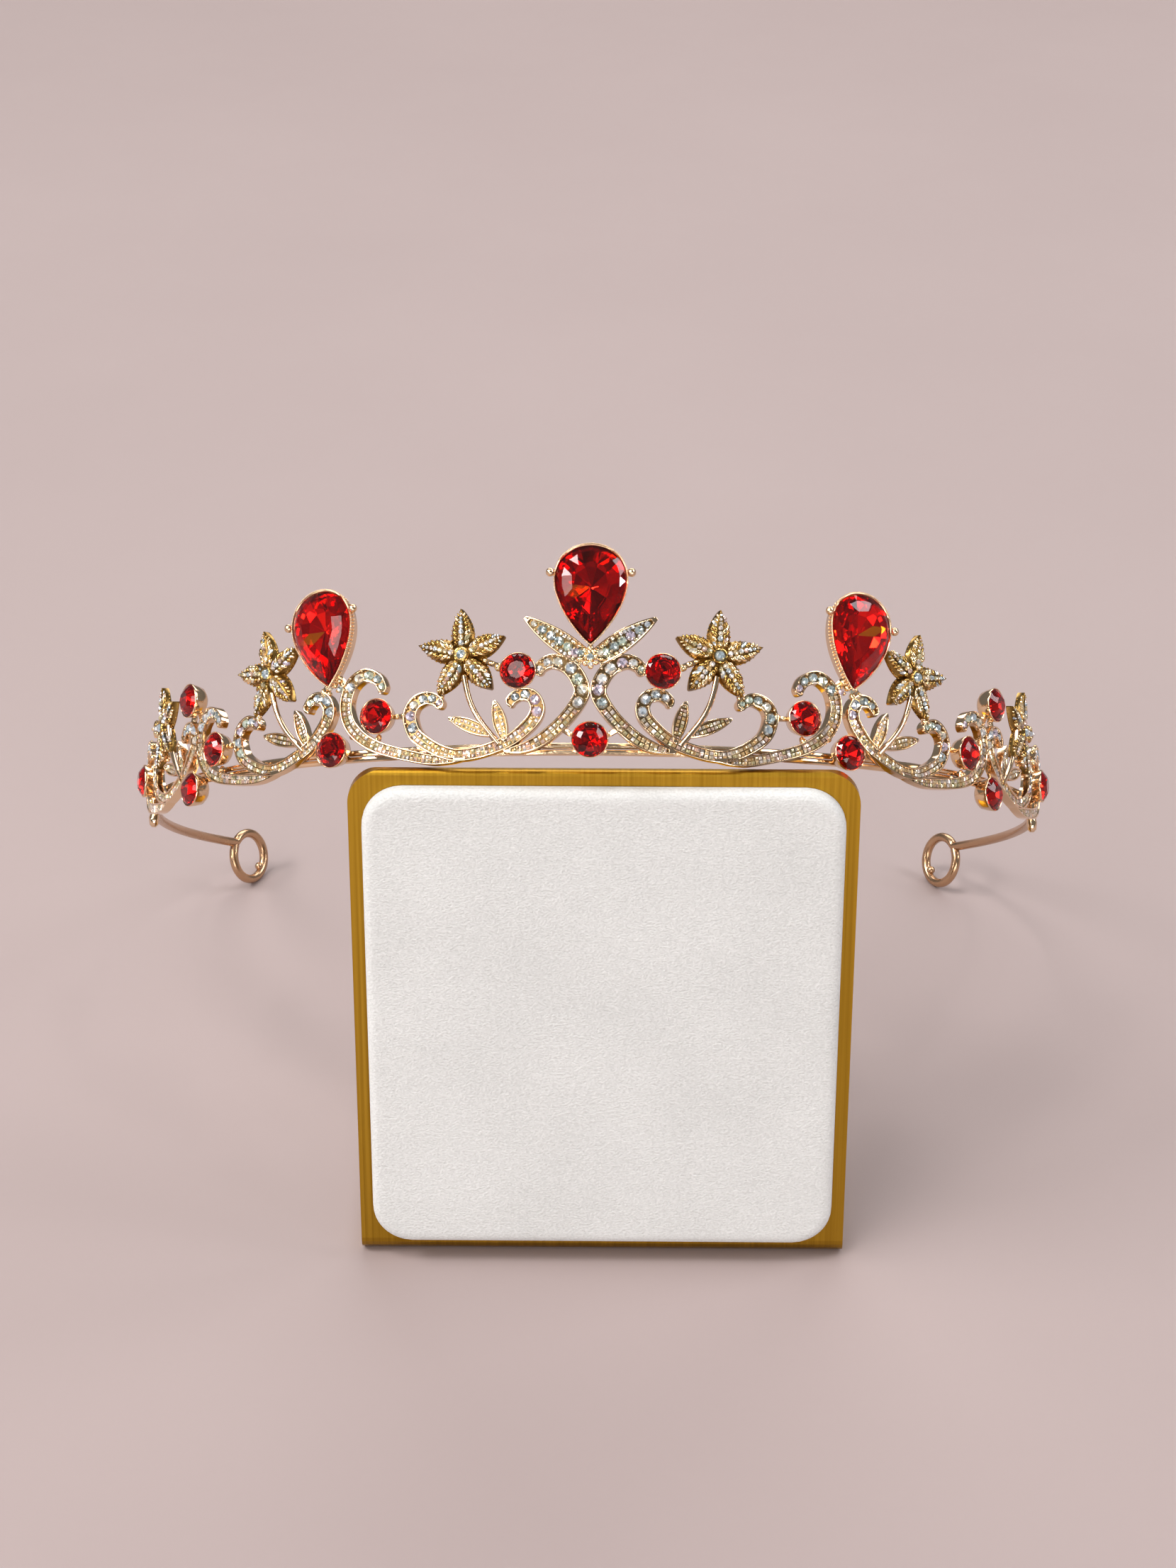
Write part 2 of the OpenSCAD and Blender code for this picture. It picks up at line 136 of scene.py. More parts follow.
# %% A socket that can be added and multiplied
class Tone:
    def __init__(self, tree, socket=None):
        self.tree, self.socket = tree, socket

    def feed(self, node, values):
        """Each value is a number, a colour or another Tone."""
        for key, value in values.items():
            if isinstance(value, Tone):
                self.tree.links.new(value.socket, node.inputs[key])
            else:
                node.inputs[key].default_value = value

    def node(self, kind, settings=None, inputs=None, output=0):
        made = self.tree.nodes.new("ShaderNode" + kind)
        for key, value in (settings or {}).items():
            if key == "stops":
                for element, (place, colour) in zip(made.color_ramp.elements, value):
                    element.position, element.color = place, colour
            else:
                setattr(made, key, value)
        self.feed(made, inputs or {})
        return Tone(self.tree, made.outputs[output])

    def math(self, operation, first, second):
        return self.node("Math", {"operation": operation}, {0: first, 1: second})

    def __add__(self, other):
        return self.math("ADD", self, other)

    def __radd__(self, other):
        return self.math("ADD", other, self)

    def __sub__(self, other):
        return self.math("SUBTRACT", self, other)

    def __rsub__(self, other):
        return self.math("SUBTRACT", other, self)

    def __mul__(self, other):
        return self.math("MULTIPLY", self, other)

    def __rmul__(self, other):
        return self.math("MULTIPLY", other, self)

    def clamp(self):
        return self.node("Clamp", None, {"Value": self})

    def blend(self, factor, first, second):
        return self.node("Mix", {"data_type": "RGBA"}, {"Factor": factor, "A": first, "B": second}, 2)

    def place(self, scale=(1, 1, 1)):
        where = self.node("TexCoord", output=3)
        return self.node("Mapping", None, {"Vector": where, "Scale": scale})

    def noise(self, scale, detail=3.0, stretch=(1, 1, 1)):
        inputs = {"Vector": self.place(stretch), "Scale": scale, "Detail": detail}
        return self.node("TexNoise", None, inputs)

    def bump(self, height, strength, depth):
        return self.node("Bump", None, {"Height": height, "Strength": strength, "Distance": depth})


def new_material(name):
    """A new material, a Tone to write its sums with, and its shader."""
    made = bpy.data.materials.new(name)
    made.use_nodes = True
    return made, Tone(made.node_tree), made.node_tree.nodes["Principled BSDF"]


print("a Tone knows", [name for name in vars(Tone) if not name.startswith("__")])

# %% [markdown]
# ## Pale gold
# The castings are a base metal with a thin pale gold plate. Its colour wanders at random between a
# pinkish bright tone and a deeper one. On the sunk floors and in the middle of the petals a painted
# attribute paints shade: it pulls the colour to the deeper tone and makes the metal a little rougher.
# A very fine bump keeps the cast skin from looking like a mirror.


# %% Plated metals
def plated(name, high, low, rough, grain):
    made, tone, shader = new_material(name)
    cloud = tone.noise(160.0, 2.0)
    # The attribute read here is painted shade: where it is 1 the colour goes to the low tone.
    shaded_recess = tone.node("Attribute", {"attribute_name": "shaded_recess"}, output=2)
    tone.feed(shader, {
        "Base Color": tone.blend((cloud * 0.35 + shaded_recess * 0.75).clamp(), high, low),
        "Metallic": 1.0,
        "Roughness": cloud * 0.12 + shaded_recess * 0.12 + rough,
        "Normal": tone.bump(tone.noise(grain, 4.0), 0.35, 0.00004),
    })
    return made


pale_gold = plated("pale_gold", (0.92, 0.67, 0.44, 1), (0.30, 0.18, 0.065, 1), 0.07, 1800.0)
petal_gold = plated("petal_gold", (0.52, 0.32, 0.10, 1), (0.10, 0.052, 0.011, 1), 0.12, 2200.0)
# A lighter copy of the pale gold: a painted highlight, for the bright barbs and the nuggets.
highlight_gold = plated("highlight_gold", (1.0, 0.79, 0.48, 1), (0.44, 0.28, 0.10, 1), 0.07, 2200.0)
wire_gold = plated("wire_gold", (0.60, 0.38, 0.23, 1), (0.34, 0.19, 0.09, 1), 0.20, 900.0)
print("metals:", [m.name for m in (pale_gold, petal_gold, highlight_gold, wire_gold)])

# %% [markdown]
# ## Stones
# Cheap clear stones are glass with a foil behind it, so they flash light and dark like small mirrors.
# Here they are a coated, partly metallic surface whose tints are painted reflections, and each facet
# is painted light or dark as a flash. Red stones are deeper: light goes in through real glass and
# comes back off a red foil on the cut faces below, whose facets are painted light and dark too. So
# each red stone gets two materials.


# %% Clear stones, red glass and its foil
def clear_material():
    made, tone, shader = new_material("clear_stone")
    tone.feed(shader, {
        # The attribute holds painted colour: reflections, and flashes of light and shade facet by facet.
        "Base Color": tone.node("Attribute", {"attribute_name": "tint_and_glint"}),
        "Metallic": 0.62,
        "Roughness": tone.noise(700.0, 1.0) * 0.10 + 0.02,
        "Coat Weight": 1.0,
        "Coat Roughness": 0.02,
        "Coat IOR": 1.7,
    })
    return made


def red_glass_material():
    made, tone, shader = new_material("red_glass")
    tone.feed(shader, {
        "Base Color": tone.blend(tone.noise(120.0, 1.0), (1.0, 0.30, 0.22, 1), (1.0, 0.20, 0.15, 1)),
        "Roughness": 0.0,
        "IOR": 1.5,
        "Specular IOR Level": 0.25,
        "Transmission Weight": 1.0,
    })
    return made


def red_foil_material():
    made, tone, shader = new_material("red_foil")
    tone.feed(shader, {
        # The attribute holds the foil's red with painted light and shade, facet by facet.
        "Base Color": tone.node("Attribute", {"attribute_name": "tint_and_glint"}),
        "Metallic": 0.85,
        "Roughness": tone.noise(300.0, 1.0) * 0.05,
    })
    return made


clear_stone = clear_material()
red_glass = red_glass_material()
red_foil = red_foil_material()
print("stones:", [m.name for m in (clear_stone, red_glass, red_foil)])

# %% [markdown]
# ## From a bmesh to a finished piece
# Every piece ends the same way: its sharp edges are kept and the rest shaded smooth, it is hung on the
# body it rides on, and the construction solid it stands for is hidden. Most pieces are of plated metal
# and stand for some of the lace, so they get a shorter way in.


# %% Finish a piece
EDGE_ANGLE = 35.0


def finish(bm, name, materials, stands_for=(), smooth=EDGE_ANGLE):
    """Edges sharper than smooth, in degrees, are kept; with None the piece is all flat facets."""
    mesh = bpy.data.meshes.new(name)
    bm.to_mesh(mesh)
    bm.free()
    for material in materials:
        mesh.materials.append(material)
    if smooth:
        mesh.shade_smooth()
        mesh.set_sharp_from_angle(angle=math.radians(smooth))
    else:
        mesh.shade_flat()
    return ready(bpy.data.objects.new(name, mesh), stands_for)


def ready(piece, stands_for=()):
    bpy.context.scene.collection.objects.link(piece)
    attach(piece, "root")
    for node in stands_for:
        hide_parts(node)
    return piece


def cast(bm, name, metal=pale_gold, smooth=EDGE_ANGLE):
    """Finishes a piece of plated metal, which stands for some of the lace."""
    return finish(bm, name, [metal], ["lace"], smooth)


def cast_round(flat, name, sign=1):
    """The same for a piece that was drawn flat."""
    onto_band(flat, sign)
    return cast(flat, name)


def joined(parts):
    """Puts several small meshes into one bmesh."""
    whole = bmesh.new()
    for part in parts:
        mesh = bpy.data.meshes.new("part")
        part.to_mesh(mesh)
        whole.from_mesh(mesh)
        part.free()
        bpy.data.meshes.remove(mesh)
    return whole


# %% [markdown]
# ## Walking along a scroll
# A scroll is drawn as a short table: how far along, how high and how wide. A Catmull-Rom curve goes
# through every row, and walk() sets even steps on it, each with its heading and width. A curl ends
# half round, by a few more stations that narrow like the cosine of an angle.


# %% Smooth a table and walk along it
def smooth_rows(rows, steps=14):
    rows = [Vector(row) for row in rows]
    last = len(rows) - 1
    path = []
    for i in range(last):
        a, b, c, d = rows[max(i - 1, 0)], rows[i], rows[i + 1], rows[min(i + 2, last)]
        for t in (step / steps for step in range(steps)):
            path.append((2 * b + (c - a) * t + (2 * a - 5 * b + 4 * c - d) * t ** 2
                         + (3 * b - a - 3 * c + d) * t ** 3) / 2)
    return path + [rows[last]]


def walk(rows, stride):
    """Stations of (x, y, heading, width) at even distances along the smoothed table."""
    path = smooth_rows(rows)
    lengths = [0.0]
    for a, b in zip(path, path[1:]):
        lengths.append(lengths[-1] + (b.to_2d() - a.to_2d()).length)
    count = max(2, round(lengths[-1] / stride))
    stations, i = [], 0
    for n in range(count + 1):
        goal = lengths[-1] * n / count
        while i < len(path) - 2 and lengths[i + 1] < goal:
            i += 1
        t = (goal - lengths[i]) / (lengths[i + 1] - lengths[i])
        here, ahead = path[i].lerp(path[i + 1], t), path[i + 1] - path[i]
        stations.append((here.x, here.y, math.atan2(ahead.y, ahead.x), here.z))
    return stations, lengths[-1]


TIP_ANGLES = (20, 38, 54, 68, 82)
BLUNT_R = 0.5


def round_ends(stations):
    """Ends that are still wide become half round, within the length they had."""
    for end in range(2):
        stations = stations[::-1]
        tip, radius = Vector(stations[-1][:2]), stations[-1][3] / 2
        if radius > BLUNT_R:
            while (Vector(stations[-1][:2]) - tip).length < radius:
                stations.pop()
            x, y, heading, width = stations[-1]
            for angle in TIP_ANGLES:
                here = Vector((x, y)).lerp(tip, math.sin(math.radians(angle)))
                stations.append((here.x, here.y, heading, width * math.cos(math.radians(angle))))
    return stations


CENTRE_SCROLL = [
    (7.5, 13.0, 1.5), (6.9, 14.3, 1.8), (5.3, 15.0, 2.1), (3.2, 14.3, 2.3), (1.7, 12.5, 2.4),
    (1.2, 10.2, 2.3), (3.2, 7.0, 2.1), (6.2, 4.2, 1.95), (9.0, 2.7, 1.6), (12.2, 2.1, 0.5),
]
FLOWER_SCROLL = [
    (21.3, 8.6, 1.4), (22.1, 9.7, 1.7), (23.7, 10.2, 1.9), (25.6, 9.3, 2.0), (26.2, 7.2, 2.1),
    (24.6, 4.3, 2.0), (19.2, 1.8, 1.8), (12.4, 3.2, 1.8), (8.7, 5.8, 2.0), (7.4, 8.0, 2.1),
    (8.1, 9.9, 2.0), (9.9, 10.3, 1.8), (11.2, 9.4, 1.5), (11.5, 8.5, 1.3),
]
HOOK_SCROLL = [
    (17.6, 1.3, 0.4), (20.4, 1.1, 1.1), (24.2, 1.5, 1.6), (31.3, 3.5, 1.8), (35.2, 6.1, 2.0),
    (36.7, 9.3, 2.1), (36.0, 12.5, 2.1), (33.8, 14.1, 2.0), (31.6, 13.5, 1.8), (30.6, 12.0, 1.5),
    (30.5, 11.2, 1.3),
]
for rows in (CENTRE_SCROLL, FLOWER_SCROLL, HOOK_SCROLL):
    print("a scroll of", len(rows), "rows is", round(walk(rows, 1)[1], 1), "mm long")

# %% [markdown]
# ## A channel with rims
# In section a scroll is a shallow trough: two rounded rims with a sunk floor for the stones. One edge
# is extruded from station to station to make a strip, the strip is extruded to its thickness, and
# two insets on the front make the rims: the first sets their width, the second sinks the floor.
# An inset keeps its width where the strip narrows, which a scaled section would not.

# %% The trough
CAST_BACK, CAST_FRONT = -0.7, 0.75
FLOOR = 0.3
RIM = 0.24
FLOOR_SLOPE = 0.05
LEAST_FLOOR = 0.3
RIM_BEVEL = 0.08


def verts_among(made):
    """The points among what an operator made."""
    return [item for item in made if isinstance(item, bmesh.types.BMVert)]


def strip(bm, stations, narrow):
    """A flat strip, by extruding one edge from station to station; a layer marks what isn't narrow."""
    def frame_of(station):
        x, y, heading, width = station
        return (Matrix.Translation((x, y, 0)) @ Matrix.Rotation(heading, 4, "Z")
                @ Matrix.Diagonal((1, width, 1, 1)))
    marked = bm.faces.layers.int.new("wide")
    ends = [bm.verts.new(frame_of(stations[0]) @ Vector((0, side, 0))) for side in (-0.5, 0.5)]
    edge = bm.edges.new(ends)
    for before, after in zip(stations, stations[1:]):
        made = bmesh.ops.extrude_edge_only(bm, edges=[edge])["geom"]
        verts = verts_among(made)
        edge = next(e for e in made if isinstance(e, bmesh.types.BMEdge) and set(e.verts) == set(verts))
        face = next(item for item in made if isinstance(item, bmesh.types.BMFace))
        face[marked] = int(min(before[3], after[3]) > narrow)
        bmesh.ops.transform(bm, matrix=frame_of(after) @ frame_of(before).inverted(), verts=verts)
    return marked


def trough(stations, rim=RIM, floor=FLOOR, back=CAST_BACK, front=CAST_FRONT):
    """A scroll or leaf: thick strip, rims, sunk floor and softened edges."""
    bm = bmesh.new()
    shaded_recess = bm.verts.layers.float.new("shaded_recess")
    marked = strip(bm, stations, 2 * rim + LEAST_FLOOR)
    bmesh.ops.translate(bm, vec=(0, 0, back), verts=bm.verts)
    raised = verts_among(bmesh.ops.extrude_face_region(bm, geom=bm.faces[:])["geom"])
    bmesh.ops.translate(bm, vec=(0, 0, front - back), verts=raised)
    bmesh.ops.recalc_face_normals(bm, faces=bm.faces)
    wide = [face for face in bm.faces if face.normal.z > 0.9 and face[marked]]
    bmesh.ops.inset_region(bm, faces=wide, thickness=rim, depth=0, use_even_offset=True)
    bmesh.ops.inset_region(bm, faces=wide, thickness=FLOOR_SLOPE, depth=floor - front, use_even_offset=True)
    # Painted shade: the sunk floor is marked, so the plated metal is darker there.
    for vert in {v for face in wide for v in face.verts}:
        vert[shaded_recess] = 1.0
    sharp = [e for e in bm.edges if len(e.link_faces) == 2 and e.calc_face_angle() > 1.0
             and max(v.co.z for v in e.verts) > front - 0.01]
    bmesh.ops.bevel(bm, geom=sharp, offset=RIM_BEVEL, segments=2, profile=0.5, affect="EDGES", material=-1)
    return bm


test = trough(round_ends(walk(CENTRE_SCROLL, 0.45)[0]))
print("a centre scroll has", len(test.faces), "faces")
print("and it is closed:", all(len(edge.link_faces) == 2 for edge in test.edges))
test.free()

# %% [markdown]
# ## Round bars
# Stems, links and wires are round bars. A ring of edges is extruded along the path, and between two
# stations it is turned by the smallest rotation that takes one heading to the next, so it never twists.


# %% A bar along a path
def bar(rows, sides=8):
    """A closed round bar through rows of (x, y, z, radius)."""
    path, radii = [Vector(row[:3]) for row in rows], [row[3] for row in rows]
    last = len(path) - 1
    heads = [(path[min(i + 1, last)] - path[max(i - 1, 0)]).normalized() for i in range(last + 1)]
    start = Matrix.Translation(path[0]) @ heads[0].to_track_quat("Z", "Y").to_matrix().to_4x4()
    bm = bmesh.new()
    ring = bmesh.ops.create_circle(bm, segments=sides, radius=radii[0], matrix=start)["verts"]
    edges = list({edge for vert in ring for edge in vert.link_edges})
    for i in range(last):
        made = bmesh.ops.extrude_edge_only(bm, edges=edges)["geom"]
        verts = verts_among(made)
        edges = [e for e in made if isinstance(e, bmesh.types.BMEdge) and all(v in verts for v in e.verts)]
        turn = heads[i].rotation_difference(heads[i + 1]).to_matrix().to_4x4()
        bmesh.ops.transform(bm, verts=verts, matrix=Matrix.Translation(path[i + 1]) @ turn
                            @ Matrix.Scale(radii[i + 1] / radii[i], 4) @ Matrix.Translation(-path[i]))
    bmesh.ops.holes_fill(bm, edges=bm.edges, sides=0)
    bmesh.ops.recalc_face_normals(bm, faces=bm.faces)
    return bm


test = bar([(0, 0, 0, 0.2), (1, 0, 0, 0.2), (2, 1, 0, 0.2)])
print("a short bar has", len(test.faces), "faces")
test.free()

# %% [markdown]
# ## Leaves
# A leaf is the same trough with a width that swells and narrows. Two small leaves grow from each
# flower's stem, and two long ones hold the centre stone.

# %% Leaf stations
STEM_LEAVES = [((13.7, 4.5), (20.3, 7.2), 2.0, 0.04), ((12.0, 3.4), (13.6, 9.5), 2.0, 0.04)]
CENTRE_LEAF = ((0.8, 15.4), (9.35, 21.3), 3.15, 0.27)


def leaf_half(leaf, t):
    """Half a leaf's width; its fourth number says how blunt the base is."""
    return leaf[2] / 2 * math.sin(math.pi * (leaf[3] + (0.97 - leaf[3]) * t)) ** 0.75


def leaf_stations(leaf, steps=16):
    base, run = Vector(leaf[0]), Vector(leaf[1]) - Vector(leaf[0])
    stations = []
    for i in range(steps + 1):
        here = base + run * i / steps
        stations.append((here.x, here.y, math.atan2(run.y, run.x), 2 * leaf_half(leaf, i / steps)))
    return stations


print("a small leaf is", round(2 * leaf_half(STEM_LEAVES[0], 0.5), 1), "mm wide in its middle")

# %% Stems and links
FLOWER_STEM = [(18.1, 13.2, 0.46), (17.3, 9.8, 0.42), (15.7, 6.7, 0.42), (12.9, 3.2, 0.46)]
STEM_OUT = 0.35
LINK_R, MIDDLE_LINK_R, PEAR_LINK_R = 0.42, 0.5, 0.6
LINK_OUT = 0.05
LINK_TAPER = [(0.0, 0.35), (0.06, 0.75), (0.2, 1.0), (0.8, 1.0), (0.94, 0.75), (1.0, 0.35)]
SIDE_LINKS = [((26.9, 7.8), (29.0, 7.8)), ((31.2, 5.4), (31.6, 3.6)), ((21.9, 8.6), (21.4, 11.0))]
CENTRE_LINKS = [((2.4, 4.4), (4.8, 5.8)), ((2.6, 14.4), (2.9, 16.8)), ((12.2, 14.1), (15.4, 15.4)),
                ((8.6, 13.7), (7.0, 13.5))]
MIDDLE_LINKS = [((-1.0, 11.2), (1.0, 11.2)), ((0.0, 13.9), (0.0, 17.6))]
PEAR_LINKS = [((36.4, 12.2), (38.8, 14.6)), ((41.2, 11.6), (39.2, 14.0))]
ROUND_LINKS = [((68.4, 10.2), (69.9, 12.6)), ((72.6, 10.2), (71.6, 12.4))]
LOW_LINK = ((36.0, 5.0), (35.0, 6.2))


def link(ends, radius=LINK_R):
    """A short bar between two places, with both its ends rounded off."""
    (x0, y0), (x1, y1) = ends
    return bar([(x0 + (x1 - x0) * t, y0 + (y1 - y0) * t, LINK_OUT, radius * part) for t, part in LINK_TAPER])


def stem(rows):
    return bar([(p.x, p.y, STEM_OUT, p.z) for p in smooth_rows(rows, 5)], sides=12)


print("stem leaves:", len(STEM_LEAVES), "a casting; links:", len(SIDE_LINKS), "a casting")


# %% [markdown]
# ## The castings
# Each casting is built flat, put through its matrix, bent round the band and finished as one piece.
# The hook scroll lies slightly behind the flower scroll, because its rims are a touch lower.


# %% Make the seven castings
SCROLL_STEP = 0.42
HOOK_SINK = 0.06


def scroll(rows, sink=0.0, back=CAST_BACK):
    return trough(round_ends(walk(rows, SCROLL_STEP)[0]), back=back, front=CAST_FRONT - sink)


def side_casting(k):
    parts = [scroll(FLOWER_SCROLL), scroll(HOOK_SCROLL, HOOK_SINK, CAST_BACK + HOOK_SINK), stem(FLOWER_STEM)]
    parts += [trough(leaf_stations(leaf), rim=0.2, floor=0.4, back=-0.5, front=0.7) for leaf in STEM_LEAVES]
    parts += [link(ends) for ends in SIDE_LINKS]
    if k < 2:
        parts.append(link(LOW_LINK))
    whole = joined(parts)
    bmesh.ops.transform(whole, matrix=cast_matrix(k), verts=whole.verts)
    return whole


def centre_half():
    leaf = trough(leaf_stations(CENTRE_LEAF, 20), rim=0.26, floor=0.35, back=-0.6, front=0.8)
    return joined([scroll(CENTRE_SCROLL, HOOK_SINK), leaf] + [link(ends) for ends in CENTRE_LINKS])


for side, sign in SIDES.items():
    for k in range(3):
        made = cast_round(side_casting(k), f"casting_{side}_{k + 1}", sign)
    cast_round(centre_half(), f"casting_centre_{side}", sign)
cast_round(joined([link(ends, MIDDLE_LINK_R) for ends in MIDDLE_LINKS]), "centre_links")
for side, sign in SIDES.items():
    links = [link(ends, PEAR_LINK_R) for ends in PEAR_LINKS]
    links += [link(ends, MIDDLE_LINK_R) for ends in ROUND_LINKS]
    cast_round(joined(links), f"upper_links_{side}", sign)
print("castings made; a side casting has", len(made.data.polygons), "faces")

# %% [markdown]
# ## Strewing small things
# Hundreds of stones and beads would be hundreds of objects. Instead one small mesh is copied to every
# place in a list and joined into a single mesh, and each copy gets its own tint in an attribute, with
# a painted flash of light or shade on each facet.


# %% One mesh from many places
def seed_stone(sides=8):
    """A small brilliant of radius 1; its table is dished to a star, as the foil under a real one looks."""
    bm = bmesh.new()
    bmesh.ops.create_cone(bm, segments=sides, radius1=1.0, radius2=0.6, depth=0.62, cap_ends=True)
    table = [vert for vert in bm.verts if vert.co.z > 0]
    bmesh.ops.rotate(bm, verts=table, cent=(0, 0, 0), matrix=Matrix.Rotation(math.pi / sides, 3, "Z"))
    slopes = [face for face in bm.faces if len(face.verts) == 4 and abs(face.normal.z) < 0.99]
    bmesh.ops.triangulate(bm, faces=slopes)
    bmesh.ops.poke(bm, faces=[face for face in bm.faces if face.normal.z > 0.99], offset=-0.12)
    return bm


def seed_cell():
    """A cast square grain: a flat block with sloping sides and a low crossed top."""
    bm = bmesh.new()
    bmesh.ops.create_cone(bm, segments=4, radius1=1.3, radius2=0.85, depth=0.5, cap_ends=True)
    bmesh.ops.rotate(bm, verts=bm.verts, cent=(0, 0, 0), matrix=Matrix.Rotation(math.pi / 4, 3, "Z"))
    bmesh.ops.poke(bm, faces=[face for face in bm.faces if face.normal.z > 0.99], offset=0.14)
    return bm


def seed_bead():
    bm = bmesh.new()
    bmesh.ops.create_icosphere(bm, subdivisions=1, radius=1.0)
    return bm


def seed_pebble():
    """A rounder bead for the bigger nuggets."""
    bm = bmesh.new()
    bmesh.ops.create_uvsphere(bm, u_segments=8, v_segments=5, radius=1.0)
    return bm


chance = random.Random(41)
# Painted light: every facet's tint is scaled by one of these, so facets show painted glints and painted
# shade.
PAINTED_FLASHES = (0.38, 0.56, 0.74, 0.9, 1.0, 1.0, 1.0)
# Painted reflections for the clear stones: white, greyed, dark, and faintly coloured as by their fire.
REFLECTED_TINTS = [(0.80, 0.88, 0.96), (0.66, 0.76, 0.82), (1.0, 1.0, 0.97), (0.56, 0.66, 0.66),
             (0.88, 0.76, 0.92), (0.74, 0.86, 0.72), (0.98, 0.92, 0.76)]
GRAIN_TINTS = [(0.92, 0.70, 0.42), (0.94, 0.66, 0.54), (1.0, 0.86, 0.64), (0.80, 0.70, 0.40),
               (0.84, 0.56, 0.26), (1.0, 0.88, 0.80)]


def strew(name, seed, places, material, tints=None):
    """Copies a seed to every place as one mesh. A tint colours a copy, and each facet gets its own painted
    flash of light or shade.
    """
    seed.verts.index_update()
    corners = np.array([(*vert.co, 1.0) for vert in seed.verts])
    loops = [[vert.index for vert in face.verts] for face in seed.faces]
    seed.free()
    verts, faces, colours = [], [], []
    for n, place in enumerate(places):
        first = n * len(corners)
        verts.append((corners @ np.array(place).T)[:, :3])
        step = -1 if place.determinant() < 0 else 1
        faces += [[first + i for i in loop[::step]] for loop in loops]
        if tints:
            for loop in loops:
                # Painted light or shade for this facet.
                painted_flash = chance.choice(PAINTED_FLASHES)
                colours += [[c * painted_flash for c in tints[n]] + [1.0]] * len(loop)
    mesh = bpy.data.meshes.new(name)
    mesh.from_pydata(np.concatenate(verts).tolist(), [], faces)
    mesh.materials.append(material)
    if tints:
        layer = mesh.color_attributes.new("tint_and_glint", "FLOAT_COLOR", "CORNER")
        layer.data.foreach_set("color", np.array(colours, np.float32).ravel())
    else:
        mesh.shade_smooth()
    return ready(bpy.data.objects.new(name, mesh), ["lace"])


def strew_stones(name, seed, places, tints):
    """Clear stones, or grains that glitter like them, each of a tint by chance."""
    strew(name, seed, places, clear_stone, [chance.choice(tints) for place in places])


def tilted(place, most=9.0, spin=True, lumpy=0.0):
    """The same place with the stone set a little askew, as set stones are, or made lumpy."""
    if lumpy:
        place = place @ Matrix.Diagonal([1 + chance.uniform(-lumpy, lumpy) for axis in range(3)]).to_4x4()
    place = (place @ Matrix.Rotation(math.radians(chance.uniform(-most, most)), 4, "X")
             @ Matrix.Rotation(math.radians(chance.uniform(-most, most)), 4, "Y"))
    return place @ Matrix.Rotation(chance.uniform(0, math.pi), 4, "Z") if spin else place


def on_casting(k, x, y, heading, size, out, sign):
    """A place on casting k of a side, or straight on the band where k is None."""
    u, v = (x, y) if k is None else cast_uv(k, (x, y))
    lean = 0.0 if k is None else LEANS[k]
    return band_matrix(sign * u, v, out, sign * (lean - math.degrees(heading)), size)


print("a small stone has", len(seed_stone().faces), "faces")

# %% [markdown]
# ## Paving the troughs
# At each curled end lie four to six clear stones that fill the trough, with beads of metal between
# them. The long lower stretch only imitates stones: it is cast in small square grains, two abreast.
# Each is as wide as the trough allows there, so both kinds shrink where the scroll narrows.

# %% Where stones, grains and beads lie
STONE_D, STONE_FILL, STONE_GAP = 1.85, 1.08, 0.03
GRAIN_D, GRAIN_FILL, GRAIN_GAP = 0.66, 0.52, 0.02
LEAST_D = 0.3
BEAD_R, BEAD_GAP, BEAD_INSET = 0.192, 0.02, 0.08
PAVE_FROM, PAVE_TO, PAVE_MARGIN, PAVE_SKIP = 0.45, 0.4, 0.25, 0.2


def pave(rows, curls):
    """Stones, grains and beads along a scroll; curls is how far the clear stones reach from each end."""
    stations, length = walk(rows, 0.1)
    stones, grains, beads = [], [], []

    def spot(at, aside=0.0):
        last = len(stations) - 1
        x, y, heading, width = stations[max(0, min(round(at / length * last), last))]
        return x - math.sin(heading) * aside, y + math.cos(heading) * aside, heading, width - 2 * RIM

    at = PAVE_FROM
    while at < length - PAVE_TO:
        clear = at < curls[0] or at > length - curls[1]
        whole, fill, gap = (STONE_D, STONE_FILL, STONE_GAP) if clear else (GRAIN_D, GRAIN_FILL, GRAIN_GAP)
        size = min(whole, spot(at)[3] * fill)
        if size < LEAST_D:
            at += PAVE_SKIP
            continue
        if at + size > length - PAVE_MARGIN:
            break
        room = spot(at + size / 2)[3]
        if clear:
            stones.append((*spot(at + size / 2)[:3], size))
            for hand in (-1, 1):
                beads.append((*spot(at + size + BEAD_GAP, hand * (room / 2 - BEAD_INSET))[:3], BEAD_R))
        else:
            for hand in (-1, 1):
                grains.append((*spot(at + size / 2, hand * room * 0.25)[:3], size))
        at += size + gap
    return stones, grains, beads


SIDE_SCROLLS = [(FLOWER_SCROLL, (8.6, 8.2)), (HOOK_SCROLL, (0.0, 9.0))]
CENTRE_SCROLLS = [(CENTRE_SCROLL, (11.0, 0.0))]
print("on a flower scroll:", [len(places) for places in pave(*SIDE_SCROLLS[0])])

# %% Set them in the scrolls
STONE_OUT, GRAIN_OUT, BEAD_OUT = 0.5, 0.42, 0.62
STONE_PART, GRAIN_PART = 0.5, 0.52


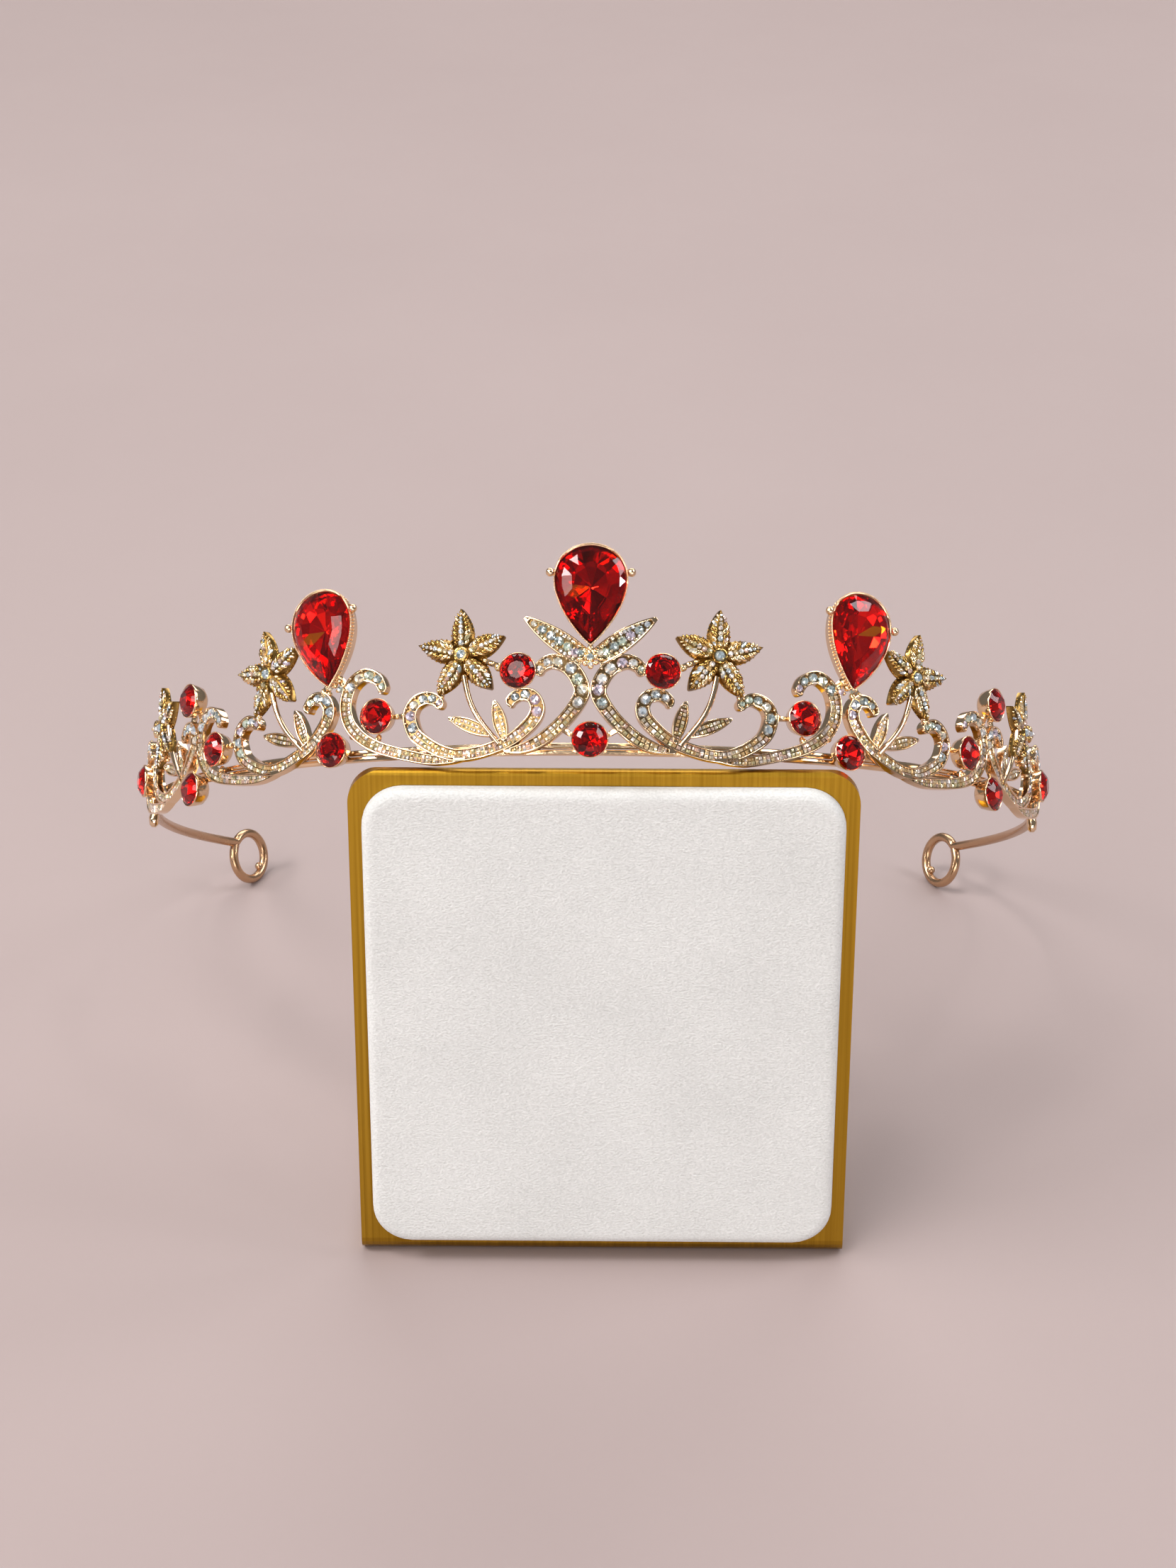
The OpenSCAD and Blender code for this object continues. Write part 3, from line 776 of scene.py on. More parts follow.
def set_scrolls(scrolls, name, k, sign):
    stones, grains, beads = (sum(kinds, []) for kinds in zip(*(pave(*row) for row in scrolls)))
    places = [tilted(on_casting(k, *spot, size * STONE_PART, STONE_OUT, sign)) for *spot, size in stones]
    strew_stones(f"clear_stones_{name}", seed_stone(), places, REFLECTED_TINTS)
    places = [tilted(on_casting(k, *spot, size * GRAIN_PART, GRAIN_OUT, sign), most=12, spin=False)
              for *spot, size in grains]
    strew_stones(f"grains_{name}", seed_cell(), places, GRAIN_TINTS)
    places = [on_casting(k, *bead, BEAD_OUT, sign) for bead in beads]
    strew(f"beads_{name}", seed_bead(), places, pale_gold)
    return [len(stones), len(grains), len(beads)]


total = np.zeros(3, int)
for side, sign in SIDES.items():
    for k in range(3):
        total += set_scrolls(SIDE_SCROLLS, f"{side}_{k + 1}", k, sign)
    total += set_scrolls(CENTRE_SCROLLS, f"centre_{side}", None, sign)
print("clear stones, grains and beads in the scrolls:", total)

# %% [markdown]
# ## Flowers
# A petal is a small domed sheet: a grid whose columns are squeezed to the petal's outline and lifted
# in the middle. Moving a grid's own points is like pushing clay, and it keeps the rows that the sheet
# is then thickened along. Its top is cast with a row of stones for a vein and smooth slanting barbs
# on both sides, like a feather's, which catch the light one by one.

# %% A petal
FLOWER_AT = (18.4, 16.2)
FLOWER_SHIFTS = [(0, 0), (0, 0), (2.0, -2.9)]
PETAL_TURNS = (2, 76, 148, -139, -68)
PETAL_L, PETAL_W = 6.7, 3.35
PETAL_BACK = -0.45
DISC_SECTION = [(0.0, -0.6), (1.3, -0.6), (1.25, 0.9), (1.05, 1.2), (0.92, 1.24), (0.8, 1.05), (0.0, 1.0)]


def petal_half(t):
    """Half the petal's width at part t of its length."""
    return PETAL_W / 2 * max(math.sin(math.pi * (0.14 + 0.85 * t)), 0.0) ** 0.85 + 0.05


def petal_height(t, s):
    """Its dome: s runs from -1 to 1 across it, and the far end dips."""
    return 0.9 - 1.15 * abs(s) ** 2.2 - 0.7 * max(t - 0.55, 0) ** 1.5


def petal_turn(turn):
    return Matrix.Rotation(math.radians(90 - turn), 4, "Z")


def petal():
    bm = bmesh.new()
    shaded_recess = bm.verts.layers.float.new("shaded_recess")
    bmesh.ops.create_grid(bm, x_segments=14, y_segments=10, size=1.0)
    for vert in bm.verts:
        t, s = (vert.co.x + 1) / 2, vert.co.y
        vert.co = Vector((t * PETAL_L, s * petal_half(t), petal_height(t, s)))
        # Painted shade: darker in the middle of the petal, lighter towards its edges, and a little on the
        # back.
        vert[shaded_recess] = 0.9 - 0.75 * abs(s) ** 6
    for vert in verts_among(bmesh.ops.extrude_face_region(bm, geom=bm.faces[:])["geom"]):
        vert.co.z = PETAL_BACK
        vert[shaded_recess] = 0.2
    bmesh.ops.recalc_face_normals(bm, faces=bm.faces)
    return bm


def flower_disc():
    """The raised ring in the middle, spun from its section."""
    bm = bmesh.new()
    verts = [bm.verts.new((x, 0, z)) for x, z in DISC_SECTION]
    edges = [bm.edges.new(pair) for pair in zip(verts, verts[1:])]
    bmesh.ops.spin(bm, geom=verts + edges, cent=(0, 0, 0), axis=(0, 0, 1), dvec=(0, 0, 0),
                   angle=math.tau, steps=20, use_merge=True)
    bmesh.ops.remove_doubles(bm, verts=bm.verts, dist=0.0001)
    bmesh.ops.recalc_face_normals(bm, faces=bm.faces)
    return bm


def flower():
    parts = [flower_disc()]
    for turn in PETAL_TURNS:
        parts.append(petal())
        bmesh.ops.transform(parts[-1], verts=parts[-1].verts, matrix=petal_turn(turn))
    return joined(parts)


print("a petal has", len(petal().faces), "faces")

# %% [markdown]
# Rows on a petal are given as part of its length and part of its half width, so one table serves all
# five petals, and each row is mirrored across the vein. Most of a flower's sparkle is contrast, so
# under half of its barbs are as deep as the petal, some are of a lighter copy of the gold as a painted
# highlight, and the rest are stones with painted flashes.

# %% Make the six flowers
PETAL_VEIN = [(0.25, 0.0, 0.48), (0.37, 0.0, 0.46), (0.49, 0.0, 0.44), (0.60, 0.0, 0.40),
              (0.70, 0.0, 0.34), (0.79, 0.0, 0.28), (0.88, 0.0, 0.22)]
PETAL_BARBS = [(0.27, 0.50, 0.56), (0.375, 0.52, 0.68), (0.48, 0.54, 0.74), (0.585, 0.55, 0.72),
               (0.69, 0.56, 0.64), (0.785, 0.56, 0.50), (0.87, 0.52, 0.34)]
PETAL_BEADS = [(0.22, 0.8, 0.16), (0.345, 0.97, 0.17), (0.455, 0.98, 0.17), (0.565, 0.98, 0.16),
               (0.675, 0.98, 0.15), (0.78, 0.98, 0.13), (0.93, 0.2, 0.13)]
VEIN_LIFT, BARB_LIFT = 0.12, 0.02
BARB_TURN = 38.0
DOME_TURN = 0.8
BARB_SHAPE = (1.0, 0.5, 0.5, 1.0)
DEEP_PART, BRIGHT_PART = 0.42, 0.36
EYE_OUT, EYE_R = 1.22, 0.84
# The flower eye's tint is a painted reflection.
EYE_REFLECTED_TINT = (0.62, 0.74, 0.80)


def petal_places(rows, lift):
    places = []
    for turn in PETAL_TURNS:
        for t, s, size in rows:
            for hand in ((-1, 1) if s else (1,)):
                side = hand * s
                spot = Matrix.Translation((t * PETAL_L, side * petal_half(t), petal_height(t, side) + lift))
                dome = Matrix.Rotation(-side * DOME_TURN, 4, "X")
                slant = Matrix.Rotation(math.radians(hand * BARB_TURN if s else 0), 4, "Z")
                places.append(petal_turn(turn) @ spot @ dome @ slant @ Matrix.Scale(size, 4))
    return places


def set_petals(name, place):
    """Everything that glitters on one flower."""
    vein = [tilted(place @ p, most=15) for p in petal_places(PETAL_VEIN, VEIN_LIFT)]
    strew_stones(f"{name}_stones", seed_stone(6), vein, GRAIN_TINTS + REFLECTED_TINTS[:3])
    barbs = [tilted(place @ p @ Matrix.Diagonal(BARB_SHAPE), most=24, spin=False, lumpy=0.3)
             for p in petal_places(PETAL_BARBS, BARB_LIFT)]
    chance.shuffle(barbs)
    deep, bright = (round(len(barbs) * part) for part in (DEEP_PART, DEEP_PART + BRIGHT_PART))
    strew(f"{name}_barbs", seed_pebble(), barbs[:deep], petal_gold)
    # The bright barbs are of the lighter gold, a painted highlight.
    strew(f"{name}_bright_barbs", seed_pebble(), barbs[deep:bright], highlight_gold)
    strew_stones(f"{name}_glints", seed_stone(6), barbs[bright:], GRAIN_TINTS + REFLECTED_TINTS)
    beads = [place @ p for p in petal_places(PETAL_BEADS, BARB_LIFT)]
    strew(f"{name}_beads", seed_bead(), beads, petal_gold)
    eye = [place @ Matrix.Translation((0, 0, EYE_OUT)) @ Matrix.Scale(EYE_R, 4)]
    strew(f"{name}_eye", seed_stone(10), eye, clear_stone, [EYE_REFLECTED_TINT])
    return len(vein), len(barbs)


for side, sign in SIDES.items():
    for k in range(3):
        name = f"flower_{side}_{k + 1}"
        u, v = cast_uv(k, FLOWER_AT) + Vector(FLOWER_SHIFTS[k])
        place = band_matrix(sign * u, v, 0, sign * LEANS[k]) @ Matrix.Diagonal((sign, 1, 1, 1))
        bm = flower()
        bmesh.ops.transform(bm, matrix=place, verts=bm.verts)
        if sign < 0:
            bmesh.ops.reverse_faces(bm, faces=bm.faces)
        cast(bm, name, petal_gold)
        counts = set_petals(name, place)
print("each flower has", counts[0], "stones in its veins and", counts[1], "barbs")

# %% [markdown]
# ## Grains on the leaves
# The two long leaves that hold the centre stone carry a row of clear stones that shrinks to the tip,
# with golden grains on both sides. The small leaves are cast like ladders: two rows of square grains.

# %% Pave the leaves
LEAF_STONES = (0.08, 0.92, 1.38, (0.0,), 0.76)
LEAF_GRAINS = (0.03, 0.90, 0.72, (-0.68, 0.68), 0.36)
SMALL_GRAINS = (0.1, 0.92, 0.56, (-0.34, 0.34), 0.27)
LEAF_STONE_OUT, LEAF_GRAIN_OUT, SMALL_GRAIN_OUT = 0.62, 0.55, 0.47


def leaf_row(leaf, start, stop, pitch, aside, size):
    """Places in a row along a leaf; aside is a part of its half width, or two of them for two rows."""
    base, run = Vector(leaf[0]), Vector(leaf[1]) - Vector(leaf[0])
    across = Vector((-run.y, run.x)).normalized()
    count = max(1, round((stop - start) * run.length / pitch))
    places = []
    for i in range(count):
        t = start + (stop - start) * (i + 0.5) / count
        half = leaf_half(leaf, t)
        for part in aside:
            spot = base + run * t + across * half * part
            widest = half * (0.32 if part else 0.62)
            places.append((spot.x, spot.y, math.atan2(run.y, run.x), min(size, widest)))
    return places


for side, sign in SIDES.items():
    places = [tilted(on_casting(None, *p, LEAF_STONE_OUT, sign))
              for p in leaf_row(CENTRE_LEAF, *LEAF_STONES)]
    strew_stones(f"centre_leaf_stones_{side}", seed_stone(), places, REFLECTED_TINTS)
    places = [tilted(on_casting(None, *p, LEAF_GRAIN_OUT, sign), most=20)
              for p in leaf_row(CENTRE_LEAF, *LEAF_GRAINS)]
    strew_stones(f"centre_leaf_grains_{side}", seed_stone(6), places, GRAIN_TINTS + REFLECTED_TINTS[2:3])
    for k in range(3):
        row = [p for leaf in STEM_LEAVES for p in leaf_row(leaf, *SMALL_GRAINS)]
        places = [tilted(on_casting(k, *p, SMALL_GRAIN_OUT, sign), most=10, spin=False) for p in row]
        strew_stones(f"leaf_grains_{side}_{k + 1}", seed_cell(), places, GRAIN_TINTS)
print("grains on a casting's leaves:", len(places))

# %% [markdown]
# Where castings are soldered together the maker hides the joint under a few cast nuggets.

# %% Nuggets over the joints
CENTRE_NUGGETS = [(0.0, 16.8, 0.46), (0.0, 16.2, 0.5), (0.0, 15.0, 0.5)]
MIRRORED_NUGGETS = [(0.8, 16.5, 0.50), (1.5, 17.1, 0.42), (2.2, 17.7, 0.36), (0.7, 15.6, 0.46),
                    (1.5, 15.2, 0.46), (0.7, 14.7, 0.40)]
CENTRE_NUGGETS += [(hand * x, y, size) for hand in (-1, 1) for x, y, size in MIRRORED_NUGGETS]
CENTRE_STONES = [(0.0, 15.6, 0.62), (-1.35, 16.1, 0.6), (1.35, 16.1, 0.6), (0.0, 14.5, 0.42)]
END_NUGGETS = [(19.4, 10.6, 0.5), (20.6, 11.8, 0.46), (21.6, 10.4, 0.5), (23.4, 11.0, 0.44),
               (16.9, 8.6, 0.42), (29.8, 11.4, 0.5), (30.4, 13.6, 0.48), (32.6, 14.6, 0.46),
               (28.6, 9.4, 0.44)]
PEAR_NUGGETS = [(36.6, 12.4, 0.52), (37.3, 13.1, 0.5), (38.0, 13.8, 0.5), (38.7, 13.1, 0.55),
                (39.4, 13.8, 0.45), (40.0, 12.9, 0.52), (40.8, 12.2, 0.5), (38.1, 12.2, 0.42),
                (39.6, 11.9, 0.42)]
PEAR_STONES = [(37.6, 12.4, 0.55), (39.4, 12.9, 0.6), (38.6, 14.3, 0.45)]
LINK_NUGGETS = [(13.1, 14.3, 0.55), (14.1, 14.9, 0.42), (12.3, 13.9, 0.34), (15.1, 15.3, 0.34)]
CAST_NUGGETS = [(27.2, 7.9, 0.45), (28.3, 7.8, 0.4), (21.5, 10.2, 0.4), (31.4, 4.7, 0.4), (21.9, 11.2, 0.34)]


def spots(rows, k, out, sign):
    return [on_casting(k, x, y, 0, size, out, sign) for x, y, size in rows]


def set_nuggets(name, places):
    # Of the lighter gold, a painted highlight.
    strew(name, seed_pebble(), [tilted(p, most=30, lumpy=0.35) for p in places], highlight_gold)


def set_joint_stones(name, places):
    strew_stones(name, seed_stone(), [tilted(p) for p in places], REFLECTED_TINTS)


set_nuggets("centre_nuggets", spots(CENTRE_NUGGETS, None, out=0.55, sign=1))
set_joint_stones("centre_joint_stones", spots(CENTRE_STONES, None, out=0.95, sign=1))
for side, sign in SIDES.items():
    set_nuggets(f"link_nuggets_{side}", spots(LINK_NUGGETS, None, out=0.3, sign=sign))
    set_nuggets(f"pear_nuggets_{side}", spots(PEAR_NUGGETS, None, out=0.4, sign=sign))
    set_joint_stones(f"pear_joint_stones_{side}", spots(PEAR_STONES, None, out=0.75, sign=sign))
    for k in range(3):
        rows = CAST_NUGGETS + (END_NUGGETS if k == 2 else [])
        set_nuggets(f"joint_nuggets_{side}_{k + 1}", spots(rows, k, out=0.3, sign=sign))
print("nuggets at the pears:", len(CENTRE_NUGGETS), "in the middle and", len(PEAR_NUGGETS), "a side")

# %% [markdown]
# ## Cups
# A round stone sits in a little bowl with a thin bright lip. A pear's cup has the same section, but its
# outline can't be spun, so every cup is a stack of rings joined with bridges, and a pear's is then
# warped to its outline all at once. The stones use the same warp, so they always fit their cups.

# %% Rings, bridges and the pear warp
PEAR_W, PEAR_H = 10.0, 14.0
PEAR_RIM = 0.2
TEAR = 0.85
tear_half = math.atan(math.sqrt(1 + TEAR))
TEAR_NORM = math.sin(2 * tear_half) * math.sin(tear_half) ** TEAR


def ring_stack(rings):
    """Bridges rings given as (sides, radius, height, turn in degrees) and closes both ends."""
    bm = bmesh.new()
    loops = []
    for sides, radius, height, turn in rings:
        place = Matrix.Translation((0, 0, height)) @ Matrix.Rotation(math.radians(turn), 4, "Z")
        made = bmesh.ops.create_circle(bm, segments=sides, radius=radius, matrix=place)["verts"]
        loops.append(list({edge for vert in made for edge in vert.link_edges}))
    for lower, upper in zip(loops, loops[1:]):
        bmesh.ops.bridge_loops(bm, edges=lower + upper)
    bmesh.ops.holes_fill(bm, edges=bm.edges, sides=0)
    bmesh.ops.recalc_face_normals(bm, faces=bm.faces)
    return bm


def pear_warp(bm, rim=0.0, rise=0.0):
    """Warps rings of radius 1 to a pear; rim widens it, rise lifts the small rings towards its top."""
    for vert in bm.verts:
        reach = vert.co.to_2d().length
        t = math.atan2(vert.co.x, -vert.co.y) % math.tau
        x = math.sin(t) * abs(math.sin(t / 2)) ** TEAR / TEAR_NORM
        vert.co.x = reach * (PEAR_W / 2 + rim) * x
        vert.co.y = rise * (1 - reach) - reach * (PEAR_H / 2 + rim * 1.35) * math.cos(t)


def placed(bm, place):
    bmesh.ops.transform(bm, matrix=place, verts=bm.verts)
    return bm


def cup_rings(sides, profile):
    return [(sides, radius, height, 0) for radius, height in profile]


ROUND_CUP = cup_rings(40, [
    (0.8, -0.95), (1.6, -0.85), (2.15, -0.35), (2.45, 0.6), (2.58, 1.3), (2.64, 1.58), (2.62, 1.70),
    (2.54, 1.76), (2.46, 1.72), (2.41, 1.58), (2.38, 1.35), (2.0, 0.7), (1.2, -0.2), (0.5, -0.45)])
PEAR_CUP = cup_rings(72, [
    (0.5, -0.75), (0.84, -0.62), (0.93, 0.1), (0.97, 1.5), (1.0, 1.95), (1.012, 2.15), (1.006, 2.28),
    (0.992, 2.32), (0.975, 2.26), (0.965, 2.1), (0.94, 1.7), (0.85, 0.7), (0.5, -0.2), (0.2, -0.3)])
print("round cup rings:", len(ROUND_CUP), "pear cup rings:", len(PEAR_CUP))

# %% [markdown]
# Ball claws stand at each pear's shoulders, each on a short lug. The pears' rims are beaded: tiny
# beads at even steps along the same outline, one row on the lip and one round the wall.

# %% Where every red stone sits
hook_round, low_round = (31.0, 7.8), (38.4, 3.4)
round_seats = {"centre": ((0.0, 3.6), 1)}
for side, sign in SIDES.items():
    seats = [(10.1, 13.5), cast_uv(0, hook_round), cast_uv(0, low_round), cast_uv(1, hook_round),
             (70.9, 14.3), cast_uv(1, low_round), cast_uv(2, hook_round)]
    for i, place in enumerate(seats, 1):
        round_seats[f"{side}_{i}"] = (place, sign)
pear_seats = {"centre": ((0.0, 17.3), 0.0, 1), "left": ((38.6, 12.8), 9.5, -1),
              "right": ((38.6, 12.8), 9.5, 1)}
print("red stones to seat:", len(round_seats), "round and", len(pear_seats), "pears")

# %% Make the cups
CUP_ANGLE = 50.0
CLAW_OUT, CLAW_R, CLAW_DROP = 0.78, 0.64, 0.35
CLAW_LUG = [(1.15, 1.5, 0.42), (0.7, 1.75, 0.42), (0.0, 2.15, 0.36)]
CLAW_HEIGHT = 2.2


def seat_matrix(place, sign, turn=0.0):
    return band_matrix(sign * place[0], place[1], 0, sign * turn)


def pear_cup():
    parts = [ring_stack(PEAR_CUP)]
    pear_warp(parts[0], PEAR_RIM)
    for hand in (-1, 1):
        x, y = hand * (PEAR_W / 2 + CLAW_OUT), PEAR_H / 4 - CLAW_DROP
        lug = [(x - hand * inwards, y, height, radius) for inwards, height, radius in CLAW_LUG]
        parts.append(bar(lug, sides=10))
        ball = bmesh.new()
        bmesh.ops.create_uvsphere(ball, u_segments=20, v_segments=12, radius=CLAW_R,
                                  matrix=Matrix.Translation((x, y, CLAW_HEIGHT)))
        parts.append(ball)
    whole = joined(parts)
    bmesh.ops.translate(whole, vec=(0, PEAR_H / 2, 0), verts=whole.verts)
    return whole


for name, (place, sign) in round_seats.items():
    cast(placed(ring_stack(ROUND_CUP), seat_matrix(place, sign)), f"cup_round_{name}", smooth=CUP_ANGLE)
for name, (place, turn, sign) in pear_seats.items():
    cup = cast(placed(pear_cup(), seat_matrix(place, sign, turn)), f"cup_pear_{name}", smooth=CUP_ANGLE)
print("cups made; a pear's has", len(cup.data.polygons), "faces")

# %% Bead the pears' rims
RIM_ROWS = [(1.01, 2.24, 0.34, 0.145), (0.98, 1.25, 0.5, 0.19)]
OUTLINE_STEPS = 720


def pear_row(reach, height, pitch, size):
    """Matrices at even steps along the pear's outline, in the cup's own millimetres."""
    bm = bmesh.new()
    for a in (math.tau * n / OUTLINE_STEPS for n in range(OUTLINE_STEPS + 1)):
        bm.verts.new((reach * math.sin(a), -reach * math.cos(a), 0))
    pear_warp(bm, PEAR_RIM)
    outline = [vert.co.copy() for vert in bm.verts]
    bm.free()
    lengths = [0.0]
    for a, b in zip(outline, outline[1:]):
        lengths.append(lengths[-1] + (b - a).length)
    count = round(lengths[-1] / pitch)
    places, i = [], 0
    for n in range(count):
        while lengths[i + 1] < lengths[-1] * n / count:
            i += 1
        spot = Vector((outline[i].x, outline[i].y + PEAR_H / 2, height))
        places.append(Matrix.Translation(spot) @ Matrix.Scale(size, 4))
    return places


rim_beads = [bead for row in RIM_ROWS for bead in pear_row(*row)]
for name, (place, turn, sign) in pear_seats.items():
    here = seat_matrix(place, sign, turn)
    strew(f"rim_beads_{name}", seed_bead(), [here @ bead for bead in rim_beads], pale_gold)
print("each pear's cup has", len(rim_beads), "beads")

# %% [markdown]
# ## Red stones
# A cut stone is a stack of rings too, but its rings have fewer sides the further they lie from the
# girdle, and some are turned, so the bridges between them become the facets. The girdle itself stays
# fine, so the outline is smooth. The faces below the girdle are the foil, each painted light or dark
# red as painted light and shade, and on the pears and two round stones one facet has a painted
# orange glint.


# %% Cut the red stones
# Painted light and shade on the red foil: the shaded tints paint shade, the lit tints light, and the flame
# tint is a painted orange glint.
SHADED_FOIL_TINTS = [(0.26, 0.001, 0.004), (0.40, 0.003, 0.006), (0.18, 0.0005, 0.002), (0.30, 0.002, 0.004)]
LIT_FOIL_TINTS = [(0.85, 0.012, 0.010), (1.0, 0.04, 0.015), (0.66, 0.004, 0.006)]
FLAME_GLINT_TINT = (1.0, 0.95, 0.04)
FLAME_WIDE, FLAME_DEPTH = 16.0, -0.9
CULET_RISE = 1.2


def foil_tint(middle, glow, flame):
    """Painted light and shade on the foil: mostly dark red above and below the culet, more often bright red
    to its sides and with more glow, and one facet a painted orange glint like a flame.
    """
    around = math.degrees(math.atan2(middle.y, middle.x))
    if flame is not None and abs((around - flame + 180) % 360 - 180) < FLAME_WIDE and middle.z < FLAME_DEPTH:
        return FLAME_GLINT_TINT
    sideways = abs(math.cos(math.radians(around)))
    return chance.choice(LIT_FOIL_TINTS if chance.random() < sideways ** 2 * 0.85 + glow else SHADED_FOIL_TINTS)


def cut(rings, lift, glow, flame, rise=None):
    """A cut stone: faces below height 0 are foil, each painted its own light or dark red. A rise makes it a
    pear.
    """
    bm = ring_stack(rings)
    if rise:
        pear_warp(bm, rise=rise)
    tint_and_glint = bm.loops.layers.float_color.new("tint_and_glint")
    for face in bm.faces:
        middle = face.calc_center_median()
        face.material_index = 1 if middle.z < 0 else 0
        colour = foil_tint(middle - Vector((0, rise or 0, 0)), glow, flame)
        for loop in face.loops:
            loop[tint_and_glint] = (*colour, 1.0)
    bmesh.ops.translate(bm, vec=(0, PEAR_H / 2 if rise else 0, lift), verts=bm.verts)
    return bm


def set_red(bm, node, place):
    return finish(placed(bm, place), f"red_{node}", [red_glass, red_foil], [node], smooth=None)


# Glow is the share of painted light on the foil: the side pears are painted brighter than the centre one. A
# flame says where a stone's painted glint lies, in degrees round its culet.
ROUND_LIFT, ROUND_GLOW = 1.55, 0.15
PEAR_LIFT, CENTRE_GLOW, SIDE_GLOW = 2.1, 0.15, 0.7
PEAR_FLAMES = {"centre": 190.0, "left": 190.0, "right": 10.0}
ROUND_FLAMES = {"left_5": 200.0, "right_7": 160.0}
ROUND_RINGS = [(8, 0.12, -1.8, 0), (8, 1.45, -0.85, 22.5), (16, 2.15, -0.25, 0), (32, 2.4, 0.0, 0),
               (32, 2.4, 0.16, 0), (16, 1.95, 0.58, 11.25), (8, 1.3, 0.98, 0)]
PEAR_RINGS = [(12, 0.03, -2.1, 0), (12, 0.5, -1.25, 15), (24, 0.84, -0.4, 0), (72, 0.985, 0.0, 0),
              (72, 0.985, 0.2, 0), (24, 0.83, 0.8, 7.5), (12, 0.56, 1.35, 0)]
for name, (place, sign) in round_seats.items():
    stone = cut(ROUND_RINGS, ROUND_LIFT, ROUND_GLOW, ROUND_FLAMES.get(name))
    set_red(stone, f"round_stone_{name}", seat_matrix(place, sign))
for name, (place, turn, sign) in pear_seats.items():
    glow = CENTRE_GLOW if name == "centre" else SIDE_GLOW
    stone = cut(PEAR_RINGS, PEAR_LIFT, glow, PEAR_FLAMES[name], CULET_RISE)
    made = set_red(stone, f"pear_stone_{name}", seat_matrix(place, sign, turn))
print("red stones set; a pear has", len(made.data.polygons), "facets")

# %% [markdown]
# ## The wires
# Two thin wires run behind the castings from end to end, and a thicker one carries on from each end,
# curving in and bent back on itself in a ring for a hair pin. They are bars along a computed path.

# %% Band wires, lugs and end beads
WIRE_HEIGHTS = (2.1, 3.05)
WIRE_BACK = -1.0
WIRE_HALF_L, WIRE_R, WIRE_STEPS = 98.6, 0.45, 120
TAIL_V = sum(WIRE_HEIGHTS) / 2
LUG = [(-3.2, 0.5), (-3.0, 0.95), (-2.6, 1.15), (-0.2, 1.15), (0.0, 1.0)]
END_BEAD = [(98.2, TAIL_V, -0.8, 0.5), (98.4, 0.9, -0.7, 0.62), (98.6, -0.4, -0.6, 0.85),
            (98.7, -1.5, -0.6, 0.7), (98.7, -1.9, -0.6, 0.3)]


def wire(height):
    steps = (2 * WIRE_HALF_L * i / WIRE_STEPS - WIRE_HALF_L for i in range(WIRE_STEPS + 1))
    return bar([(u, height, WIRE_BACK, WIRE_R) for u in steps], sides=10)


cast_round(joined([wire(height) for height in WIRE_HEIGHTS]), "band_wires")
for side, sign in SIDES.items():
    lug = bar([(BAND_END + u, TAIL_V, WIRE_BACK, radius) for u, radius in LUG], sides=16)
    cast_round(joined([lug, bar(END_BEAD, sides=12)]), f"band_end_{side}", sign)
print("wires run over", round(2 * WIRE_HALF_L), "mm of the band")

# %% Tail wires with their rings
TAIL_L, TAIL_R, TAIL_STEPS = 59.0, 0.8, 36
TAIL_TURN, TAIL_GATHER = 45.0, 1.6
RING_R, RING_STEPS = 4.2, 48
RING_START, RING_STOP = 150.0, -202.0
RING_BEAD_R, RING_BEAD_REACH, RING_BEAD_AT = 0.75, 3.3, -0.5


def tail_heading(t):
    """Heading in radians at part t of a tail, which curves in more and more."""
    return BAND_END / BAND_R + math.radians(TAIL_TURN) * t ** TAIL_GATHER


def ring_spot(middle, way, reach, angle):
    return middle + reach * (way * math.cos(angle) + Vector((0, 0, math.sin(angle))))


def tail_path():
    """Points of one tail in the tiara's own millimetres, and the ring's middle and heading."""
    a, r = BAND_END / BAND_R, BAND_R + WIRE_BACK
    x, y = r * math.sin(a), BAND_R - r * math.cos(a)
    path = [Vector((x, y, TAIL_V))]
    for n in range(TAIL_STEPS):
        ahead = tail_heading((n + 0.5) / TAIL_STEPS)
        x += TAIL_L / TAIL_STEPS * math.cos(ahead)
        y += TAIL_L / TAIL_STEPS * math.sin(ahead)
        path.append(Vector((x, y, TAIL_V)))
    way = Vector((math.cos(tail_heading(1)), math.sin(tail_heading(1)), 0))
    start, turn = math.radians(RING_START), math.radians(RING_STOP - RING_START)
    middle = ring_spot(path[-1], way, -RING_R, start)
    path += [ring_spot(middle, way, RING_R, start + turn * n / RING_STEPS) for n in range(1, RING_STEPS + 1)]
    return path, middle, way


path, ring_middle, ring_way = tail_path()
for side, sign in SIDES.items():
    tail = bar([(sign * p.x, p.y, p.z, TAIL_R) for p in path], sides=14)
    bead = bmesh.new()
    spot = ring_spot(ring_middle, ring_way, RING_BEAD_REACH, RING_BEAD_AT)
    bmesh.ops.create_uvsphere(bead, u_segments=14, v_segments=9, radius=RING_BEAD_R,
                              matrix=Matrix.Translation((sign * spot.x, spot.y, spot.z)))
    whole = joined([tail, bead])
    for vert in whole.verts:
        vert.co = tiara_point(*vert.co)
    bmesh.ops.recalc_face_normals(whole, faces=whole.faces)
    finish(whole, f"tail_{side}", [wire_gold], [f"tail_wire_{side}"], smooth=60)
print("tail wire points:", len(path))

# %% [markdown]
# ## The pad
# The pad is a board covered with pale suede. A grid, finer towards its edges, is rounded by pulling each
# corner to a quarter circle. Its outer rows drop in a quarter round, as the cloth does where it is pulled
# over the board, and the rest is very slightly crowned. Then it is extruded back to its thickness.

